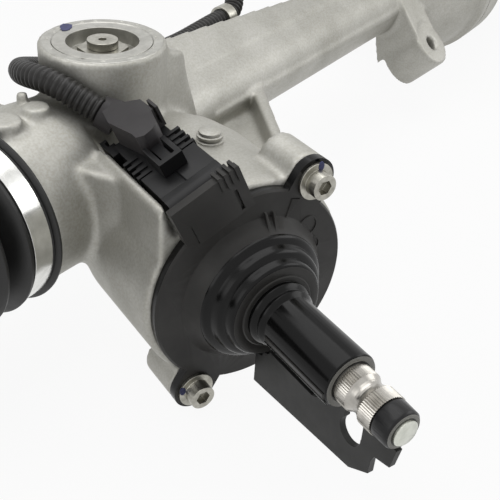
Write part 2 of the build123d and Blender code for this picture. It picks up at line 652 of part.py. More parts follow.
# ---- harness conduit, held between the sensor plug and the control unit --------------------
conduit_radius = 6.0
unit_front_x = case_split_x + 24.0 + 106.0      # motor end, where the control unit starts
unit_length = 44.0
unit_top = 36.0
header_x = unit_front_x + 22.0
header_y = motor_offset_y - 8.0
header_top = unit_top + 8.0
unit_plug_half = 11.0
nipple_length = 8.0
unit_exit_z = header_top + 8.5
clip_from, clip_to = (130.0, 27.0, 25.0), (152.0, 27.0, 26.0)
nipple_end = Vector(-29.6, -24.2, 39.0)         # where the conduit leaves the sensor plug
beside_tower = Vector(-37.6, -3.0, 50.0)
conduit_way = (beside_tower - nipple_end).normalized()
conduit_start = nipple_end - conduit_way * nipple_length
route = [
    tuple(conduit_start), tuple(beside_tower), (-35.0, 17.0, 47.5), (-22.0, 33.0, 41.0), (2.0, 39.0, 32.0),
    (40.0, 33.0, 22.0), (90.0, 28.5, 20.5), clip_from, clip_to, (165.0, 36.0, 42.0), (200.0, 44.0, 53.0),
    (262.0, 50.0, 56.0), (318.0, 56.0, 64.0), (378.0, 65.0, 71.0), (440.0, 75.0, 64.0),
    (500.0, header_y, unit_exit_z), (header_x - unit_plug_half - nipple_length, header_y, unit_exit_z)]
radii = []
for before, here, after in zip(route, route[1:], route[2:]):
    run_in = Vector(*here) - Vector(*before)
    run_out = Vector(*after) - Vector(*here)
    half_turn = math.radians(run_in.get_angle(run_out)) / 2
    radii.append(min(0.42 * min(run_in.length, run_out.length) / math.tan(half_turn), 400.0))
print("conduit radii", [round(r) for r in radii])
with BuildPart() as harness_conduit:
    with BuildLine() as path:
        FilletPolyline(*route, radius=radii)
    with BuildSketch(Plane(origin=path.line @ 0, z_dir=path.line % 0)):
        Circle(conduit_radius)
    sweep()
conduit_length = path.wire().length
print("conduit", round(conduit_length), "mm long, volume over section times length",
      round(harness_conduit.part.volume / (math.pi * conduit_radius ** 2 * conduit_length), 4))
save(harness_conduit, "harness_conduit")

shell_low, shell_high = 55.0, 74.0
shell_outline = [(39.5, -0.3), (47.4, -6.8), (57.6, -8.8), (73.8, -5.6), (77.6, -5.6), (79.6, -2.5),
                 (79.0, 2.2), (76.4, 5.0), (64.2, 8.8), (56.6, 8.6), (51.4, 3.2)]
with BuildPart() as plug_backshell:
    with BuildSketch(over_plug(shell_low)):
        with BuildLine():
            Polyline(*shell_outline, close=True)
        make_face()
    extrude(amount=shell_high - shell_low)
    plug_block(57, 65, 6, 12, 60, shell_high - 2)                       # lug with a slot, beside the cap
    plug_block(56, 66, 9.4, 10.6, 63, shell_high, Mode.SUBTRACT)
    plug_block(plug_back - seat_gap, plug_front, -20, 20, 0, plug_high + seat_gap, Mode.SUBTRACT)
    plug_block(plug_back - 8, plug_back, -20, plug_left + 2.2, 50, 62.2, Mode.SUBTRACT)
    ring(Plane(origin=conduit_start, z_dir=conduit_way), conduit_radius + 1.3, 0, nipple_length)
    ring(Plane(origin=conduit_start, z_dir=conduit_way), conduit_radius + seat_gap, 0, nipple_length + 1, Mode.SUBTRACT)
save(plug_backshell, "plug_backshell")

shoulder_back_y = 14.0
with BuildPart() as conduit_clip:
    clip_way = (Vector(*clip_to) - Vector(*clip_from)).normalized()
    clip_center = (Vector(*clip_to) + Vector(*clip_from)) / 2
    clip_plane = Plane(origin=clip_center, x_dir=(0, 1, 0), z_dir=clip_way)
    ring(clip_plane.offset(-4), conduit_radius + 1.7, conduit_radius + 0.1, 8)
    with BuildSketch(Plane(origin=(clip_center.X, shoulder_back_y, clip_center.Z), x_dir=(1, 0, 0), z_dir=(0, 1, 0))):
        Rectangle(9, 2.4)
    extrude(amount=clip_center.Y - shoulder_back_y - conduit_radius - 0.6)
save(conduit_clip, "conduit_clip")

# ---- yoke: presses the rack into the pinion ------------------------------------------------
liner_thick = 1.0
yoke_bottom, yoke_top = 4.0, 33.0
plug_bottom = tower_top - plug_height
recess_radius = 17.06
recess_floor = 50.4
spring_pocket = 12.6
spring_seat = 22.0
adjuster_radius = 6.0
with BuildPart() as yoke:
    ring(Plane.XY.offset(yoke_bottom), yoke_bore - slide_gap, 0, yoke_top - yoke_bottom)
    ring(across_rack(-30), rack_radius + slide_gap + liner_thick, 0, 60, Mode.SUBTRACT)
    ring(Plane.XY.offset(spring_seat), spring_pocket, 0, 20, Mode.SUBTRACT)
    ring(Plane.XY.offset(27), yoke_bore + 1, yoke_bore - 2.6, 2.8, Mode.SUBTRACT)
save(yoke, "yoke")

with BuildPart() as yoke_liner:
    ring(across_rack(-yoke_bore + 3), rack_radius + slide_gap + liner_thick - seat_gap, rack_radius + slide_gap,
         2 * yoke_bore - 6)
    with BuildSketch(Plane.XY.offset(yoke_bottom)):
        Circle(yoke_bore - 0.4)
    extrude(amount=20, mode=Mode.INTERSECT)
save(yoke_liner, "yoke_liner")

with BuildPart() as yoke_seal_ring:
    with Locations((0, 0, 28.4)):
        Torus(yoke_bore - 1.35, 1.25)
save(yoke_seal_ring, "yoke_seal_ring")

wire = 1.5
spring_radius = 9.6
spring_top = plug_bottom - 0.05
with BuildPart() as yoke_spring:
    with BuildLine() as coil:
        Helix(pitch=(spring_top - spring_seat - 2 * wire - 0.1) / 4.5, height=spring_top - spring_seat - 2 * wire - 0.1,
              radius=spring_radius, center=(0, 0, spring_seat + wire + 0.05))
    with BuildSketch(Plane(origin=coil.line @ 0, z_dir=coil.line % 0)):
        Circle(wire)
    sweep(is_frenet=True)
save(yoke_spring, "yoke_spring")

with BuildPart() as yoke_plug:
    ring(Plane.XY.offset(plug_bottom), plug_bore - seat_gap, adjuster_radius + seat_gap, plug_height)
    ring(Plane.XY.offset(recess_floor), recess_radius, 0, 20, Mode.SUBTRACT)
save(yoke_plug, "yoke_plug")

disc_top = tower_top + 0.6
disc_bottom = disc_top - 3.6
with BuildPart() as yoke_adjuster:
    ring(Plane.XY.offset(plug_bottom - 3), adjuster_radius, 0, disc_bottom - plug_bottom + 4)
    ring(Plane.XY.offset(disc_bottom), 7.3, 0, disc_top - disc_bottom)
    ring(Plane.XY.offset(disc_top - 2.4), 1.9, 0, 5, Mode.SUBTRACT)
save(yoke_adjuster, "yoke_adjuster")

with BuildPart() as yoke_locknut:
    with BuildSketch(Plane.XY.offset(recess_floor)):
        RegularPolygon(10.5, 6, major_radius=False, rotation=12)
        Circle(adjuster_radius + seat_gap, mode=Mode.SUBTRACT)
    extrude(amount=disc_bottom - recess_floor - 0.1)
save(yoke_locknut, "yoke_locknut")

# ---- rack housing: one casting -------------------------------------------------------------
bearing_at_x = 350.0
bearing_width_x = 18.0
nut_bearing_radius = 40.0
nut_radius = 25.0
retainer_width = 7.0
chamber_wall = 8.0
chamber_start = bearing_at_x + bearing_width_x + retainer_width
lobe_radius = 46.0
lobe_bore = 24.0
shoulder_end_x = 300.0
mount_radius = 17.4
mount_hole = 5.3
front_mount = Vector(316, -46, -22)
mount_way = Vector(0, -1, 1).normalized()
front_mount_length = 34.0
rear_mount = Vector(-22, 52, 2)
rear_mount_length = 34.0
bushing_x, bushing_length = 172.0, 22.0
case_bolt_radius = 3.0
case_ears = [(math.cos(math.radians(a)) * (bell_radius + 6), math.sin(math.radians(a)) * (bell_radius + 6))
             for a in (48, 108, 165, 292)]
case_ears += [(motor_offset_y + math.cos(math.radians(a)) * (lobe_radius + 1),
               motor_z + math.sin(math.radians(a)) * (lobe_radius + 1)) for a in (-62, 0, 62)]


def case_outline(rack_part, lobe_part):
    """Lobed outline of the belt case in a plane square to the rack."""
    Circle(rack_part)
    with Locations((motor_offset_y, motor_z)):
        Circle(lobe_part)
    make_hull()


def mount_boss(face, way, length, radius, mode=Mode.ADD):
    """Round boss behind a mounting face."""
    ring(Plane(origin=face, x_dir=(1, 0, 0), z_dir=way * -1), radius, 0, length, mode)


with BuildPart() as rack_housing:
    turned(rack_section, [                                      # left neck, tube and bell
        (left_end_x, 0), (left_end_x, cuff_seat_radius - 1), (left_end_x + 1, cuff_seat_radius),
        (left_end_x + cuff_seat_length, cuff_seat_radius), (left_end_x + cuff_seat_length + 1, neck_radius - 0.6),
        (left_end_x + cuff_seat_length + 4, neck_radius), (-46, neck_radius + 1), (-26, neck_radius - 1),
        (-8, 33), (14, 27), (40, 22.5), (70, tube_radius), (316, tube_radius), (334, 31), (356, 46.5), (372, 53),
        (case_split_x - case_flange, bell_radius), (case_split_x - case_flange, bell_radius + 3),
        (case_split_x, bell_radius + 3), (case_split_x, 0)])
    with BuildSketch(across_rack(case_split_x)):                # lobed flange of the belt case
        case_outline(bell_radius + 3, lobe_radius)
    extrude(amount=-case_flange)
    with BuildSketch(across_rack(case_split_x)):
        with Locations(*case_ears):
            Circle(7)
    extrude(amount=-case_flange)
    ring(Plane.XY, tower_radius, 0, tower_top)
    fillet(rack_housing.faces().sort_by(Axis.Z)[-1].edges(), 1.0)
    # shoulder that ramps from the tower down along the top of the tube
    for x, high in ((18, 47), (shoulder_end_x, 24)):
        with BuildSketch(across_rack(x)):
            with BuildLine():
                Polyline((-4, 0), (-4, 22.6), (-1.6, 24.2), (shoulder_back_y, high - 6), (shoulder_back_y, 0), close=True)
            make_face()
    loft(ruled=True)
    # rib from the tower's right side down to the front of the tube
    with BuildSketch(Plane(origin=(0, -25.5, 0), x_dir=(1, 0, 0), z_dir=(0, -1, 0))):
        with BuildLine():
            Polyline((4, 0), (4, 40), (17, 53.5), (30.5, 49.5), (33, 38), (46, 4), (46, -4), close=True)
        make_face()
    extrude(amount=-25.5)
    # parting flange along the front and back of the tube
    with BuildSketch(Plane.XY.offset(2.4)):
        with Locations((190, 0)):
            Rectangle(250, 2 * tube_radius + 2.4)
    extrude(amount=-3.4)
    # pinion case and sensor can on the input axis
    turned(input_section, [
        (case_back + 2, 0), (case_back + 2, pinion_case_radius - 3), (case_back + 5, pinion_case_radius),
        (-14, pinion_case_radius), (8, 33), (22, 43.5), (36, can_radius - 2), (52, can_radius),
        (can_front - 4, can_radius), (can_front, can_radius - 0.6), (can_front, 0)])
    with BuildSketch(across_input(52)):                         # seat under the sensor plug
        with BuildLine():
            Polyline((-44, -4), (-44, 46), (-41.6, 50), (-36, 34), (-6, 47.5), (0, 30), (-20, -4), close=True)
        make_face()
    extrude(amount=can_front - 52)
    with BuildSketch(Plane(origin=pinion_origin + Vector(0, 0, 4), x_dir=pinion_way, z_dir=(0, 0, 1))):
        with BuildLine():                                       # the wall turns from the seat into the neck
            Polyline((45, -30), (78, -44), (52, -60), (40, -45), close=True)
        make_face()
    extrude(amount=42)
    with BuildSketch(across_input(can_front)):                  # lugs of the cover bolts
        with Locations(*bolt_spots):
            Circle(ear_radius)
        make_hull()
    extrude(amount=-24)
    # web between the tube and the sensor can
    with BuildSketch(Plane.XY.offset(-16)):
        with BuildLine():
            Polyline((30, 0), (122, 0), (112, -22), (34, -92), (10, -70), close=True)
        make_face()
    extrude(amount=8)
    with BuildSketch(Plane.XY.offset(-16)):
        with BuildLine():
            Polyline((122, 0), (112, -22), (34, -92), (30, -88), (103, -20), (103, 0), close=True)
        make_face()
    extrude(amount=20)
    # cast pads on the neck
    for x, y, top, radius in ((-50, -5, 43.4, 6.2), (-47, 6, 45.4, 2.6), (-67.5, -4.5, 43.2, 7.6)):
        with BuildSketch(Plane.XY.offset(20)):
            with Locations((x, y)):
                Circle(radius)
        extrude(amount=top - 20)
    # mounting bosses
    mount_boss(front_mount, mount_way, front_mount_length, mount_radius)
    with BuildSketch(across_rack(front_mount.X - 15)):
        with BuildLine():
            Polyline((0, 0), (-16, 16), (-34, -8), (-46, -22), (-50, -34), (-30, -50), (-10, -44), close=True)
        make_face()
    extrude(amount=30)
    mount_boss(rear_mount, mount_way, rear_mount_length, mount_radius)
    with BuildSketch(Plane.XY.offset(-26)):
        with Locations((rear_mount.X, 28)):
            Rectangle(26, 34)
    extrude(amount=18)
    # bores
    ring(across_rack(left_end_x - 1), tube_bore, 0, case_split_x - left_end_x + 2, Mode.SUBTRACT)
    ring(across_rack(left_stop_x), stop_bore, 0, left_end_x - left_stop_x - 1, Mode.SUBTRACT)
    ring(across_rack(nut_left_x - 8), nut_radius + 2, 0, 70, Mode.SUBTRACT)
    ring(across_rack(bearing_at_x), nut_bearing_radius + seat_gap, 0, bearing_width_x, Mode.SUBTRACT)
    ring(across_rack(bearing_at_x + bearing_width_x), nut_bearing_radius + 2, 0, retainer_width, Mode.SUBTRACT)
    with BuildSketch(across_rack(chamber_start)):
        Circle(bell_radius - chamber_wall)
    extrude(amount=case_split_x - chamber_start, mode=Mode.SUBTRACT)
    with BuildSketch(across_rack(case_split_x)):
        case_outline(bell_radius - chamber_wall, lobe_bore)
    extrude(amount=-case_flange + 3, mode=Mode.SUBTRACT)
    with BuildSketch(across_rack(case_split_x)):
        with Locations(*case_ears):
            Circle(case_bolt_radius + seat_gap)
    extrude(amount=-case_flange, mode=Mode.SUBTRACT)
    ring(Plane.XY, yoke_bore, 0, tower_top + 1, Mode.SUBTRACT)
    ring(Plane.XY.offset(plug_bottom), plug_bore, 0, 30, Mode.SUBTRACT)
    ring(across_input(case_back - 1), 17.0 + seat_gap, 0, 7.5, Mode.SUBTRACT)
    ring(across_input(case_back), lower_bearing_radius + seat_gap, 0, lower_bearing_at + lower_bearing_width - case_back,
         Mode.SUBTRACT)
    ring(across_input(-30), pinion_tip_radius + 0.7, 0, 90, Mode.SUBTRACT)
    ring(across_input(upper_bearing_at), upper_bearing_radius + seat_gap, 0, 60, Mode.SUBTRACT)
    ring(across_input(nut_at), upper_bearing_radius + 1 + seat_gap, 0, 60, Mode.SUBTRACT)
    ring(across_input(can_floor), seat_bore, 0, can_front, Mode.SUBTRACT)
    plug_block(40, can_front - 7, base_left + 1.1, base_right + 1, plug_low - 1.4, 95, Mode.SUBTRACT)
    for spot_x, spot_y in bolt_spots:
        with BuildSketch(across_input(can_front + 1)):
            with Locations((spot_x, spot_y)):
                Circle(bolt_radius + seat_gap)
        extrude(amount=-27, mode=Mode.SUBTRACT)
    for face, length in ((front_mount, front_mount_length), (rear_mount, rear_mount_length)):
        mount_boss(face + mount_way * 20, mount_way, length + 60, mount_hole, Mode.SUBTRACT)
        mount_boss(face + mount_way * 26, mount_way, 26, mount_radius + 0.2, Mode.SUBTRACT)
        mount_boss(face - mount_way * length, mount_way, 6, mount_radius + 0.2, Mode.SUBTRACT)
save(rack_housing, "rack_housing")
print("housing solids", len(rack_housing.solids()))

# ---- bushing and stops inside the housing --------------------------------------------------
with BuildPart() as rack_bushing:
    ring(across_rack(bushing_x), tube_bore - seat_gap, rack_radius + slide_gap, bushing_length)
    with BuildSketch(across_rack(bushing_x)):
        with PolarLocations(rack_radius, 4, start_angle=45):
            Rectangle(3, 1.6)
    extrude(amount=bushing_length, mode=Mode.SUBTRACT)
save(rack_bushing, "rack_bushing")

stop_thick = 4.5
with BuildPart() as stop_bumpers:
    ring(across_rack(left_stop_x), stop_bore - seat_gap, tube_bore + 0.3, -stop_thick)
    ring(across_rack(right_stop_x), stop_bore - seat_gap, tube_bore + 0.3, stop_thick)
save(stop_bumpers, "stop_bumpers")

# ---- ball nut, its bearing and the belt drive ----------------------------------------------
nut_bore = screw_radius + 4.1
track_ball = 2.0
with BuildPart() as ball_nut:
    ring(across_rack(nut_left_x), nut_radius, nut_bore, nut_right_x - nut_left_x)
    ring(across_rack(chamber_start + 1), nut_radius + 4, nut_radius - 1, 3)
    track_radius = screw_radius + slide_gap + track_ball
    track_lead = 7.0
    balls_per_turn = 20
    for index in range(4 * balls_per_turn):
        turn = 2 * math.pi * index / balls_per_turn
        x = nut_left_x + 12 + track_lead * index / balls_per_turn
        with Locations((x, track_radius * math.cos(turn), track_radius * math.sin(turn))):
            Sphere(track_ball)
save(ball_nut, "ball_nut")

with BuildPart() as nut_bearing:
    bearing(across_rack(bearing_at_x), nut_bearing_radius, nut_radius + slide_gap, bearing_width_x, 14)
save(nut_bearing, "nut_bearing")

with BuildPart() as bearing_retainer:
    ring(across_rack(bearing_at_x + bearing_width_x), nut_bearing_radius + 2 - seat_gap, nut_radius + 8, retainer_width)
    with BuildSketch(across_rack(bearing_at_x + bearing_width_x + 4)):
        with PolarLocations(nut_bearing_radius - 1, 6):
            Rectangle(7, 5)
    extrude(amount=4, mode=Mode.SUBTRACT)
save(bearing_retainer, "bearing_retainer")

belt_left_x = case_split_x - 7.0
belt_width = 20.0
pulley_radius = 38.0
drive_radius = 13.0
belt_thick = 2.4
belt_gap = 0.05
pulley_teeth, drive_teeth = 76, 26


def toothed_pulley(x, y, z, radius, bore, teeth):
    """Toothed pulley with a tooth every few millimetres, standing square to the rack."""
    with BuildSketch(across_rack(x - 1, y, z)) as blank:
        Circle(radius)
        Circle(bore, mode=Mode.SUBTRACT)
        with PolarLocations(radius, teeth):
            Circle(0.75, mode=Mode.SUBTRACT)
    extrude(blank.sketch, amount=belt_width + 2)


with BuildPart() as driven_pulley:
    toothed_pulley(belt_left_x, 0, 0, pulley_radius, nut_radius + seat_gap, pulley_teeth)
    ring(across_rack(belt_left_x + 3), pulley_radius - 5, nut_radius + 4, belt_width, Mode.SUBTRACT)
save(driven_pulley, "driven_pulley")

with BuildPart() as drive_pulley:
    toothed_pulley(belt_left_x, motor_offset_y, motor_z, drive_radius, 6 + seat_gap, drive_teeth)
save(drive_pulley, "drive_pulley")

with BuildPart() as drive_belt:
    with BuildSketch(across_rack(belt_left_x)):
        Circle(pulley_radius + belt_gap + belt_thick)
        with Locations((motor_offset_y, motor_z)):
            Circle(drive_radius + belt_gap + belt_thick)
        make_hull()
    extrude(amount=belt_width)
    with BuildSketch(across_rack(belt_left_x)) as inside:
        Circle(pulley_radius + belt_gap)
        with Locations((motor_offset_y, motor_z)):
            Circle(drive_radius + belt_gap)
        make_hull()
    extrude(amount=belt_width, mode=Mode.SUBTRACT)
save(drive_belt, "drive_belt")

cover_depth = 24.0
motor_bolt_circle = 48.0
motor_bolt_ear = 6.5
motor_spots = [(motor_bolt_circle * math.cos(math.radians(a)), motor_bolt_circle * math.sin(math.radians(a)))
               for a in (95, 265, 30)]
cover_wall = 8.0
motor_face_x = case_split_x + cover_depth
motor_spigot = 30.0
with BuildPart() as belt_cover:
    with BuildSketch(across_rack(case_split_x)):
        case_outline(bell_radius + 3, lobe_radius)
    extrude(amount=cover_depth)
    with BuildSketch(across_rack(case_split_x)):
        with Locations(*case_ears):
            Circle(7)
    extrude(amount=9)
    with BuildSketch(across_rack(case_split_x, motor_offset_y, motor_z)):
        with Locations(*motor_spots):
            Circle(motor_bolt_ear)
    extrude(amount=cover_depth)
    with BuildSketch(across_rack(case_split_x + 9)):
        with Locations(*case_ears):
            Circle(7.2)
    extrude(amount=cover_depth, mode=Mode.SUBTRACT)
    turned(rack_section, [
        (motor_face_x - 1, 0), (motor_face_x - 1, bell_radius - 6), (motor_face_x + 10, neck_radius - 3),
        (right_end_x - cuff_seat_length - 2, neck_radius - 3), (right_end_x - cuff_seat_length, cuff_seat_radius),
        (right_end_x - 1, cuff_seat_radius), (right_end_x, cuff_seat_radius - 1), (right_end_x, 0)])
    with BuildSketch(across_rack(case_split_x)):
        case_outline(bell_radius - chamber_wall, lobe_bore)
    extrude(amount=cover_depth - cover_wall, mode=Mode.SUBTRACT)
    ring(across_rack(case_split_x), tube_bore, 0, 200, Mode.SUBTRACT)
    ring(across_rack(right_stop_x), stop_bore, 0, 60, Mode.SUBTRACT)
    ring(across_rack(motor_face_x, motor_offset_y, motor_z), motor_spigot + seat_gap, 0, -4, Mode.SUBTRACT)
    ring(across_rack(motor_face_x, motor_offset_y, motor_z), 12, 0, -20, Mode.SUBTRACT)
    with BuildSketch(across_rack(case_split_x)):
        with Locations(*case_ears):
            Circle(case_bolt_radius + 0.3)
    extrude(amount=9, mode=Mode.SUBTRACT)
    with BuildSketch(across_rack(motor_face_x, motor_offset_y, motor_z)):
        with Locations(*motor_spots):
            Circle(case_bolt_radius + seat_gap)
    extrude(amount=-7.5, mode=Mode.SUBTRACT)
save(belt_cover, "belt_cover")

# ---- motor and control unit -----------------------------------------------------------------
motor_radius = 41.0
motor_flange = 8.0
motor_shaft_radius = 6.0


def across_motor(x):
    """Plane square to the motor axis at x."""
    return across_rack(x, motor_offset_y, motor_z)


with BuildPart() as motor_body:
    turned(motor_section, [
        (motor_face_x - 3.8, 0), (motor_face_x - 3.8, motor_spigot), (motor_face_x, motor_spigot),
        (motor_face_x, motor_radius + 1), (motor_face_x + motor_flange, motor_radius + 1),
        (motor_face_x + motor_flange, motor_radius), (unit_front_x - 4, motor_radius), (unit_front_x, motor_radius - 2),
        (unit_front_x, 0)])
    with BuildSketch(across_motor(motor_face_x)):
        with Locations(*motor_spots):
            Circle(6.5)
        Circle(motor_radius - 4)
        for spot_x, spot_y in motor_spots:
            with Locations((spot_x * 0.9, spot_y * 0.9)):
                Circle(8)
    extrude(amount=motor_flange)
    ring(across_motor(motor_face_x - 4), motor_shaft_radius + 3, 0, 84, Mode.SUBTRACT)
    ring(across_motor(motor_face_x + 14), motor_radius - 4, 0, 60, Mode.SUBTRACT)
    ring(across_motor(motor_face_x + 16), motor_radius - 3.9, 21.5, 56)
    with BuildSketch(across_motor(motor_face_x)):
        with Locations(*motor_spots):
            Circle(case_bolt_radius + 0.3)
    extrude(amount=motor_flange, mode=Mode.SUBTRACT)
    for x in (motor_face_x + 1, motor_face_x + 74.5):           # shaft bearings
        ring(across_motor(x), motor_shaft_radius + 3 - seat_gap, motor_shaft_radius + slide_gap, 5)
save(motor_body, "motor_body")

with BuildPart() as motor_shaft:
    ring(across_motor(belt_left_x - 1.2), motor_shaft_radius, 0, motor_face_x + 77.2 - belt_left_x)
    ring(across_motor(motor_face_x + 18), 20.5, 0, 52)
save(motor_shaft, "motor_shaft")

with BuildPart() as case_bolts:                                 # belt cover screws, then motor screws
    for radius, start, long in ((case_bolt_radius, -10.0, 19.5), (6.4, 9.0, 1.2), (5.0, 10.0, 5.2)):
        with BuildSketch(across_rack(case_split_x + start)):
            with Locations(*case_ears):
                Circle(radius)
        extrude(amount=long)
    with BuildSketch(across_rack(case_split_x + 12)):
        with Locations(*case_ears):
            RegularPolygon(2.5, 6, major_radius=False)
    extrude(amount=5, mode=Mode.SUBTRACT)
    for radius, start, long in ((case_bolt_radius, -7.0, motor_flange + 7.5), (6.4, motor_flange, 1.2),
                                (5.0, motor_flange + 1, 5.0)):
        with BuildSketch(across_motor(motor_face_x + start)):
            with Locations(*motor_spots):
                Circle(radius)
        extrude(amount=long)
save(case_bolts, "case_bolts")

with BuildPart() as control_unit:
    with BuildSketch(across_motor(unit_front_x)):
        with Locations((0, 1)):
            RectangleRounded(92, 86, 12)
    extrude(amount=unit_length)
    with BuildSketch(across_motor(unit_front_x + unit_length)):
        with GridLocations(0, 12, 1, 5):
            Rectangle(66, 4)
    extrude(amount=4)
    with BuildSketch(Plane(origin=(header_x, header_y, unit_top - 1))):
        RectangleRounded(26, 34, 3)
    extrude(amount=9)
    with BuildSketch(Plane(origin=(header_x + 2, motor_offset_y + 26, unit_top - 1))):
        RectangleRounded(24, 22, 3)
    extrude(amount=15)
    with BuildSketch(Plane(origin=(header_x + 2, motor_offset_y + 26, unit_top + 4))):
        RectangleRounded(20, 18, 2)
    extrude(amount=20, mode=Mode.SUBTRACT)
save(control_unit, "control_unit")

with BuildPart() as unit_plug:
    with BuildSketch(Plane(origin=(header_x, header_y, header_top))):
        RectangleRounded(2 * unit_plug_half, 30, 3)
    extrude(amount=17)
    ring(Plane(origin=(header_x - unit_plug_half + 1, header_y, unit_exit_z), x_dir=(0, 1, 0), z_dir=(-1, 0, 0)),
         conduit_radius + 1.5, 0, nipple_length + 1)
save(unit_plug, "unit_plug")

# ---- boots: plain closed bellows, soft ------------------------------------------------------
boot_wall = 1.6
boot_root = 31.0
boot_crest = 41.0
folds = 9


def boot_outline(inner):
    """Outline of one boot as (distance out of the housing face, radius), inset by inner."""
    points = [(-cuff_seat_length + 0.3, 42.4), (-cuff_seat_length + 1.5, 42.4), (-cuff_seat_length + 2.5, 39.2),
              (0.0, 39.2)]
    if inner:
        points = [(-cuff_seat_length + 0.3, cuff_seat_radius + slide_gap), (0.0, cuff_seat_radius + slide_gap)]
    end = abs(left_ball_x - left_end_x) + small_clip_distance
    start, stop = 5.0, end - 14.0
    for fold in range(folds):
        along = start + (stop - start) * (fold + 0.5) / folds
        shrink = (fold + 0.5) / folds
        crest = boot_crest - 22.0 * shrink ** 1.6 - inner
        root = boot_root - 14.5 * shrink ** 1.6 - inner
        half = (stop - start) / folds / 2
        points += [(along - half * 0.9, root), (along - half * 0.15, crest), (along + half * 0.15, crest)]
    tail = clip_seat_radius + (slide_gap if inner else boot_tail_wall)
    return points + [(end - 12, tail), (end + 8, tail)]


for side, end_x, ball_x, way in (("left", left_end_x, left_ball_x, -1), ("right", right_end_x, right_ball_x, 1)):
    section = joint_plane(end_x, way)
    with BuildPart() as boot:
        turned(section, boot_outline(0) + boot_outline(boot_wall)[::-1])
    save(boot, f"{side}_boot")

with BuildPart() as boot_clamps:
    for end_x, way in ((left_end_x, -1), (right_end_x, 1)):
        clamp_plane = across_rack(end_x - way * (cuff_seat_length - 4))
        ring(clamp_plane, 39.2 + 0.9, 39.2 + seat_gap, way * 10)
        with BuildSketch(clamp_plane):
            with Locations((30.5, 27.6)):
                Rectangle(5, 9, rotation=-48)
        extrude(amount=way * 10)
        ring(clamp_plane, 39.2 + seat_gap, 0, way * 10, Mode.SUBTRACT)
save(boot_clamps, "boot_clamps")
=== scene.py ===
import json
import math

import bmesh
import bpy
import numpy as np
from mathutils import Matrix, Vector

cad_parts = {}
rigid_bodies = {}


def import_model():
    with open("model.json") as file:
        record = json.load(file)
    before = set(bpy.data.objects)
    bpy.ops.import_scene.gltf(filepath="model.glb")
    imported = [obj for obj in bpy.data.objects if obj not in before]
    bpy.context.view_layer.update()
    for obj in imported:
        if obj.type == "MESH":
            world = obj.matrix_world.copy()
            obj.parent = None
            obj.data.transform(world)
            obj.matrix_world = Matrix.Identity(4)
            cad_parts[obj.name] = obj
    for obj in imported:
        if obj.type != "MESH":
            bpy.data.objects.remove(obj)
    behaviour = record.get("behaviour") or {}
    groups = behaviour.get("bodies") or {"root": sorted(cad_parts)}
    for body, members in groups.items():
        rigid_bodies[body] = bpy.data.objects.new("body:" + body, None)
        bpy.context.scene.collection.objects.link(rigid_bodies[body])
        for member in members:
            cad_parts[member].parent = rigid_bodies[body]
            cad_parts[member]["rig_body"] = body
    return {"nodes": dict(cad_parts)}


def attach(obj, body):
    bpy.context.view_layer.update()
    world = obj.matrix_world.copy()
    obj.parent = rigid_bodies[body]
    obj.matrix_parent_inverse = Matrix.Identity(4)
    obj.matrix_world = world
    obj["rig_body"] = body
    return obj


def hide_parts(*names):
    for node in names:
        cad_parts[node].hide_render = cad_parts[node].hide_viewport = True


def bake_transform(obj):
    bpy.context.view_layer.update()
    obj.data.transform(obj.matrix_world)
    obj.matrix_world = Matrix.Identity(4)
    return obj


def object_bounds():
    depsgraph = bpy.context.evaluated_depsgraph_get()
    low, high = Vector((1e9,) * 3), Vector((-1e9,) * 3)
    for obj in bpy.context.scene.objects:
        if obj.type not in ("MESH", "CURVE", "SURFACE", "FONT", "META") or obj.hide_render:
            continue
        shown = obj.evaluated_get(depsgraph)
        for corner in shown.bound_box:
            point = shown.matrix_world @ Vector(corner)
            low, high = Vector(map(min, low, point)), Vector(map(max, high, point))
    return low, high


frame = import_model()
nodes = frame["nodes"]
cadBox = [list(corner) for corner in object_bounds()]
print("frame loaded with", len(nodes), "nodes")

mm = 0.001
lean = math.radians(23.4)                       # the input shaft leans this far from -Y toward -X
inputStart = np.array([19.2, 0.0, -22.0])
inputWay = np.array([-math.sin(lean), -math.cos(lean), 0.0])
inputSide = np.array([math.cos(lean), -math.sin(lean), 0.0])
upWay = np.array([0.0, 0.0, 1.0])
rackWay = np.array([1.0, 0.0, 0.0])


# ---- materials: colours as sRGB hex, patterns in millimetres on object coordinates
def linear(hexColour):                          # sRGB hex to the linear values that shaders take
    parts = np.array([int(hexColour[i:i + 2], 16) / 255 for i in (1, 3, 5)])
    low = parts / 12.92
    high = ((parts + 0.055) / 1.055) ** 2.4
    return (*np.where(parts <= 0.04045, low, high).tolist(), 1.0)


def addNode(tree, kind, values=None, links=None, **settings):
    made = tree.nodes.new("ShaderNode" + kind)
    for name, value in settings.items():
        setattr(made, name, value)
    for socket, value in (values or {}).items():
        made.inputs[socket].default_value = value
    for socket, source in (links or {}).items():
        tree.links.new(source, made.inputs[socket])
    return made


def startMaterial(name, metallic, roughness, **more):
    material = bpy.data.materials.new(name)
    material.use_nodes = True
    tree = material.node_tree
    shader = tree.nodes["Principled BSDF"]
    shader.inputs["Metallic"].default_value = metallic
    shader.inputs["Roughness"].default_value = roughness
    for socket, value in more.items():
        shader.inputs[socket.replace("_", " ")].default_value = value
    place = addNode(tree, "TexCoord").outputs["Object"]
    return material, tree, shader, place


def speckle(tree, place, sizeMm, detail=3.0, roughness=0.6):    # noise whose grains are about this size
    values = {"Scale": 1 / (sizeMm * mm) / 2, "Detail": detail, "Roughness": roughness}
    return addNode(tree, "TexNoise", values, {"Vector": place}).outputs["Fac"]


def between(tree, factor, low, high, colourA, colourB):         # mixes by a factor stretched from low to high
    ramp = addNode(tree, "ValToRGB", None, {"Fac": factor})
    ramp.color_ramp.elements[0].position = low
    ramp.color_ramp.elements[1].position = high
    ramp.color_ramp.elements[0].color = linear(colourA)
    ramp.color_ramp.elements[1].color = linear(colourB)
    return ramp.outputs["Color"]


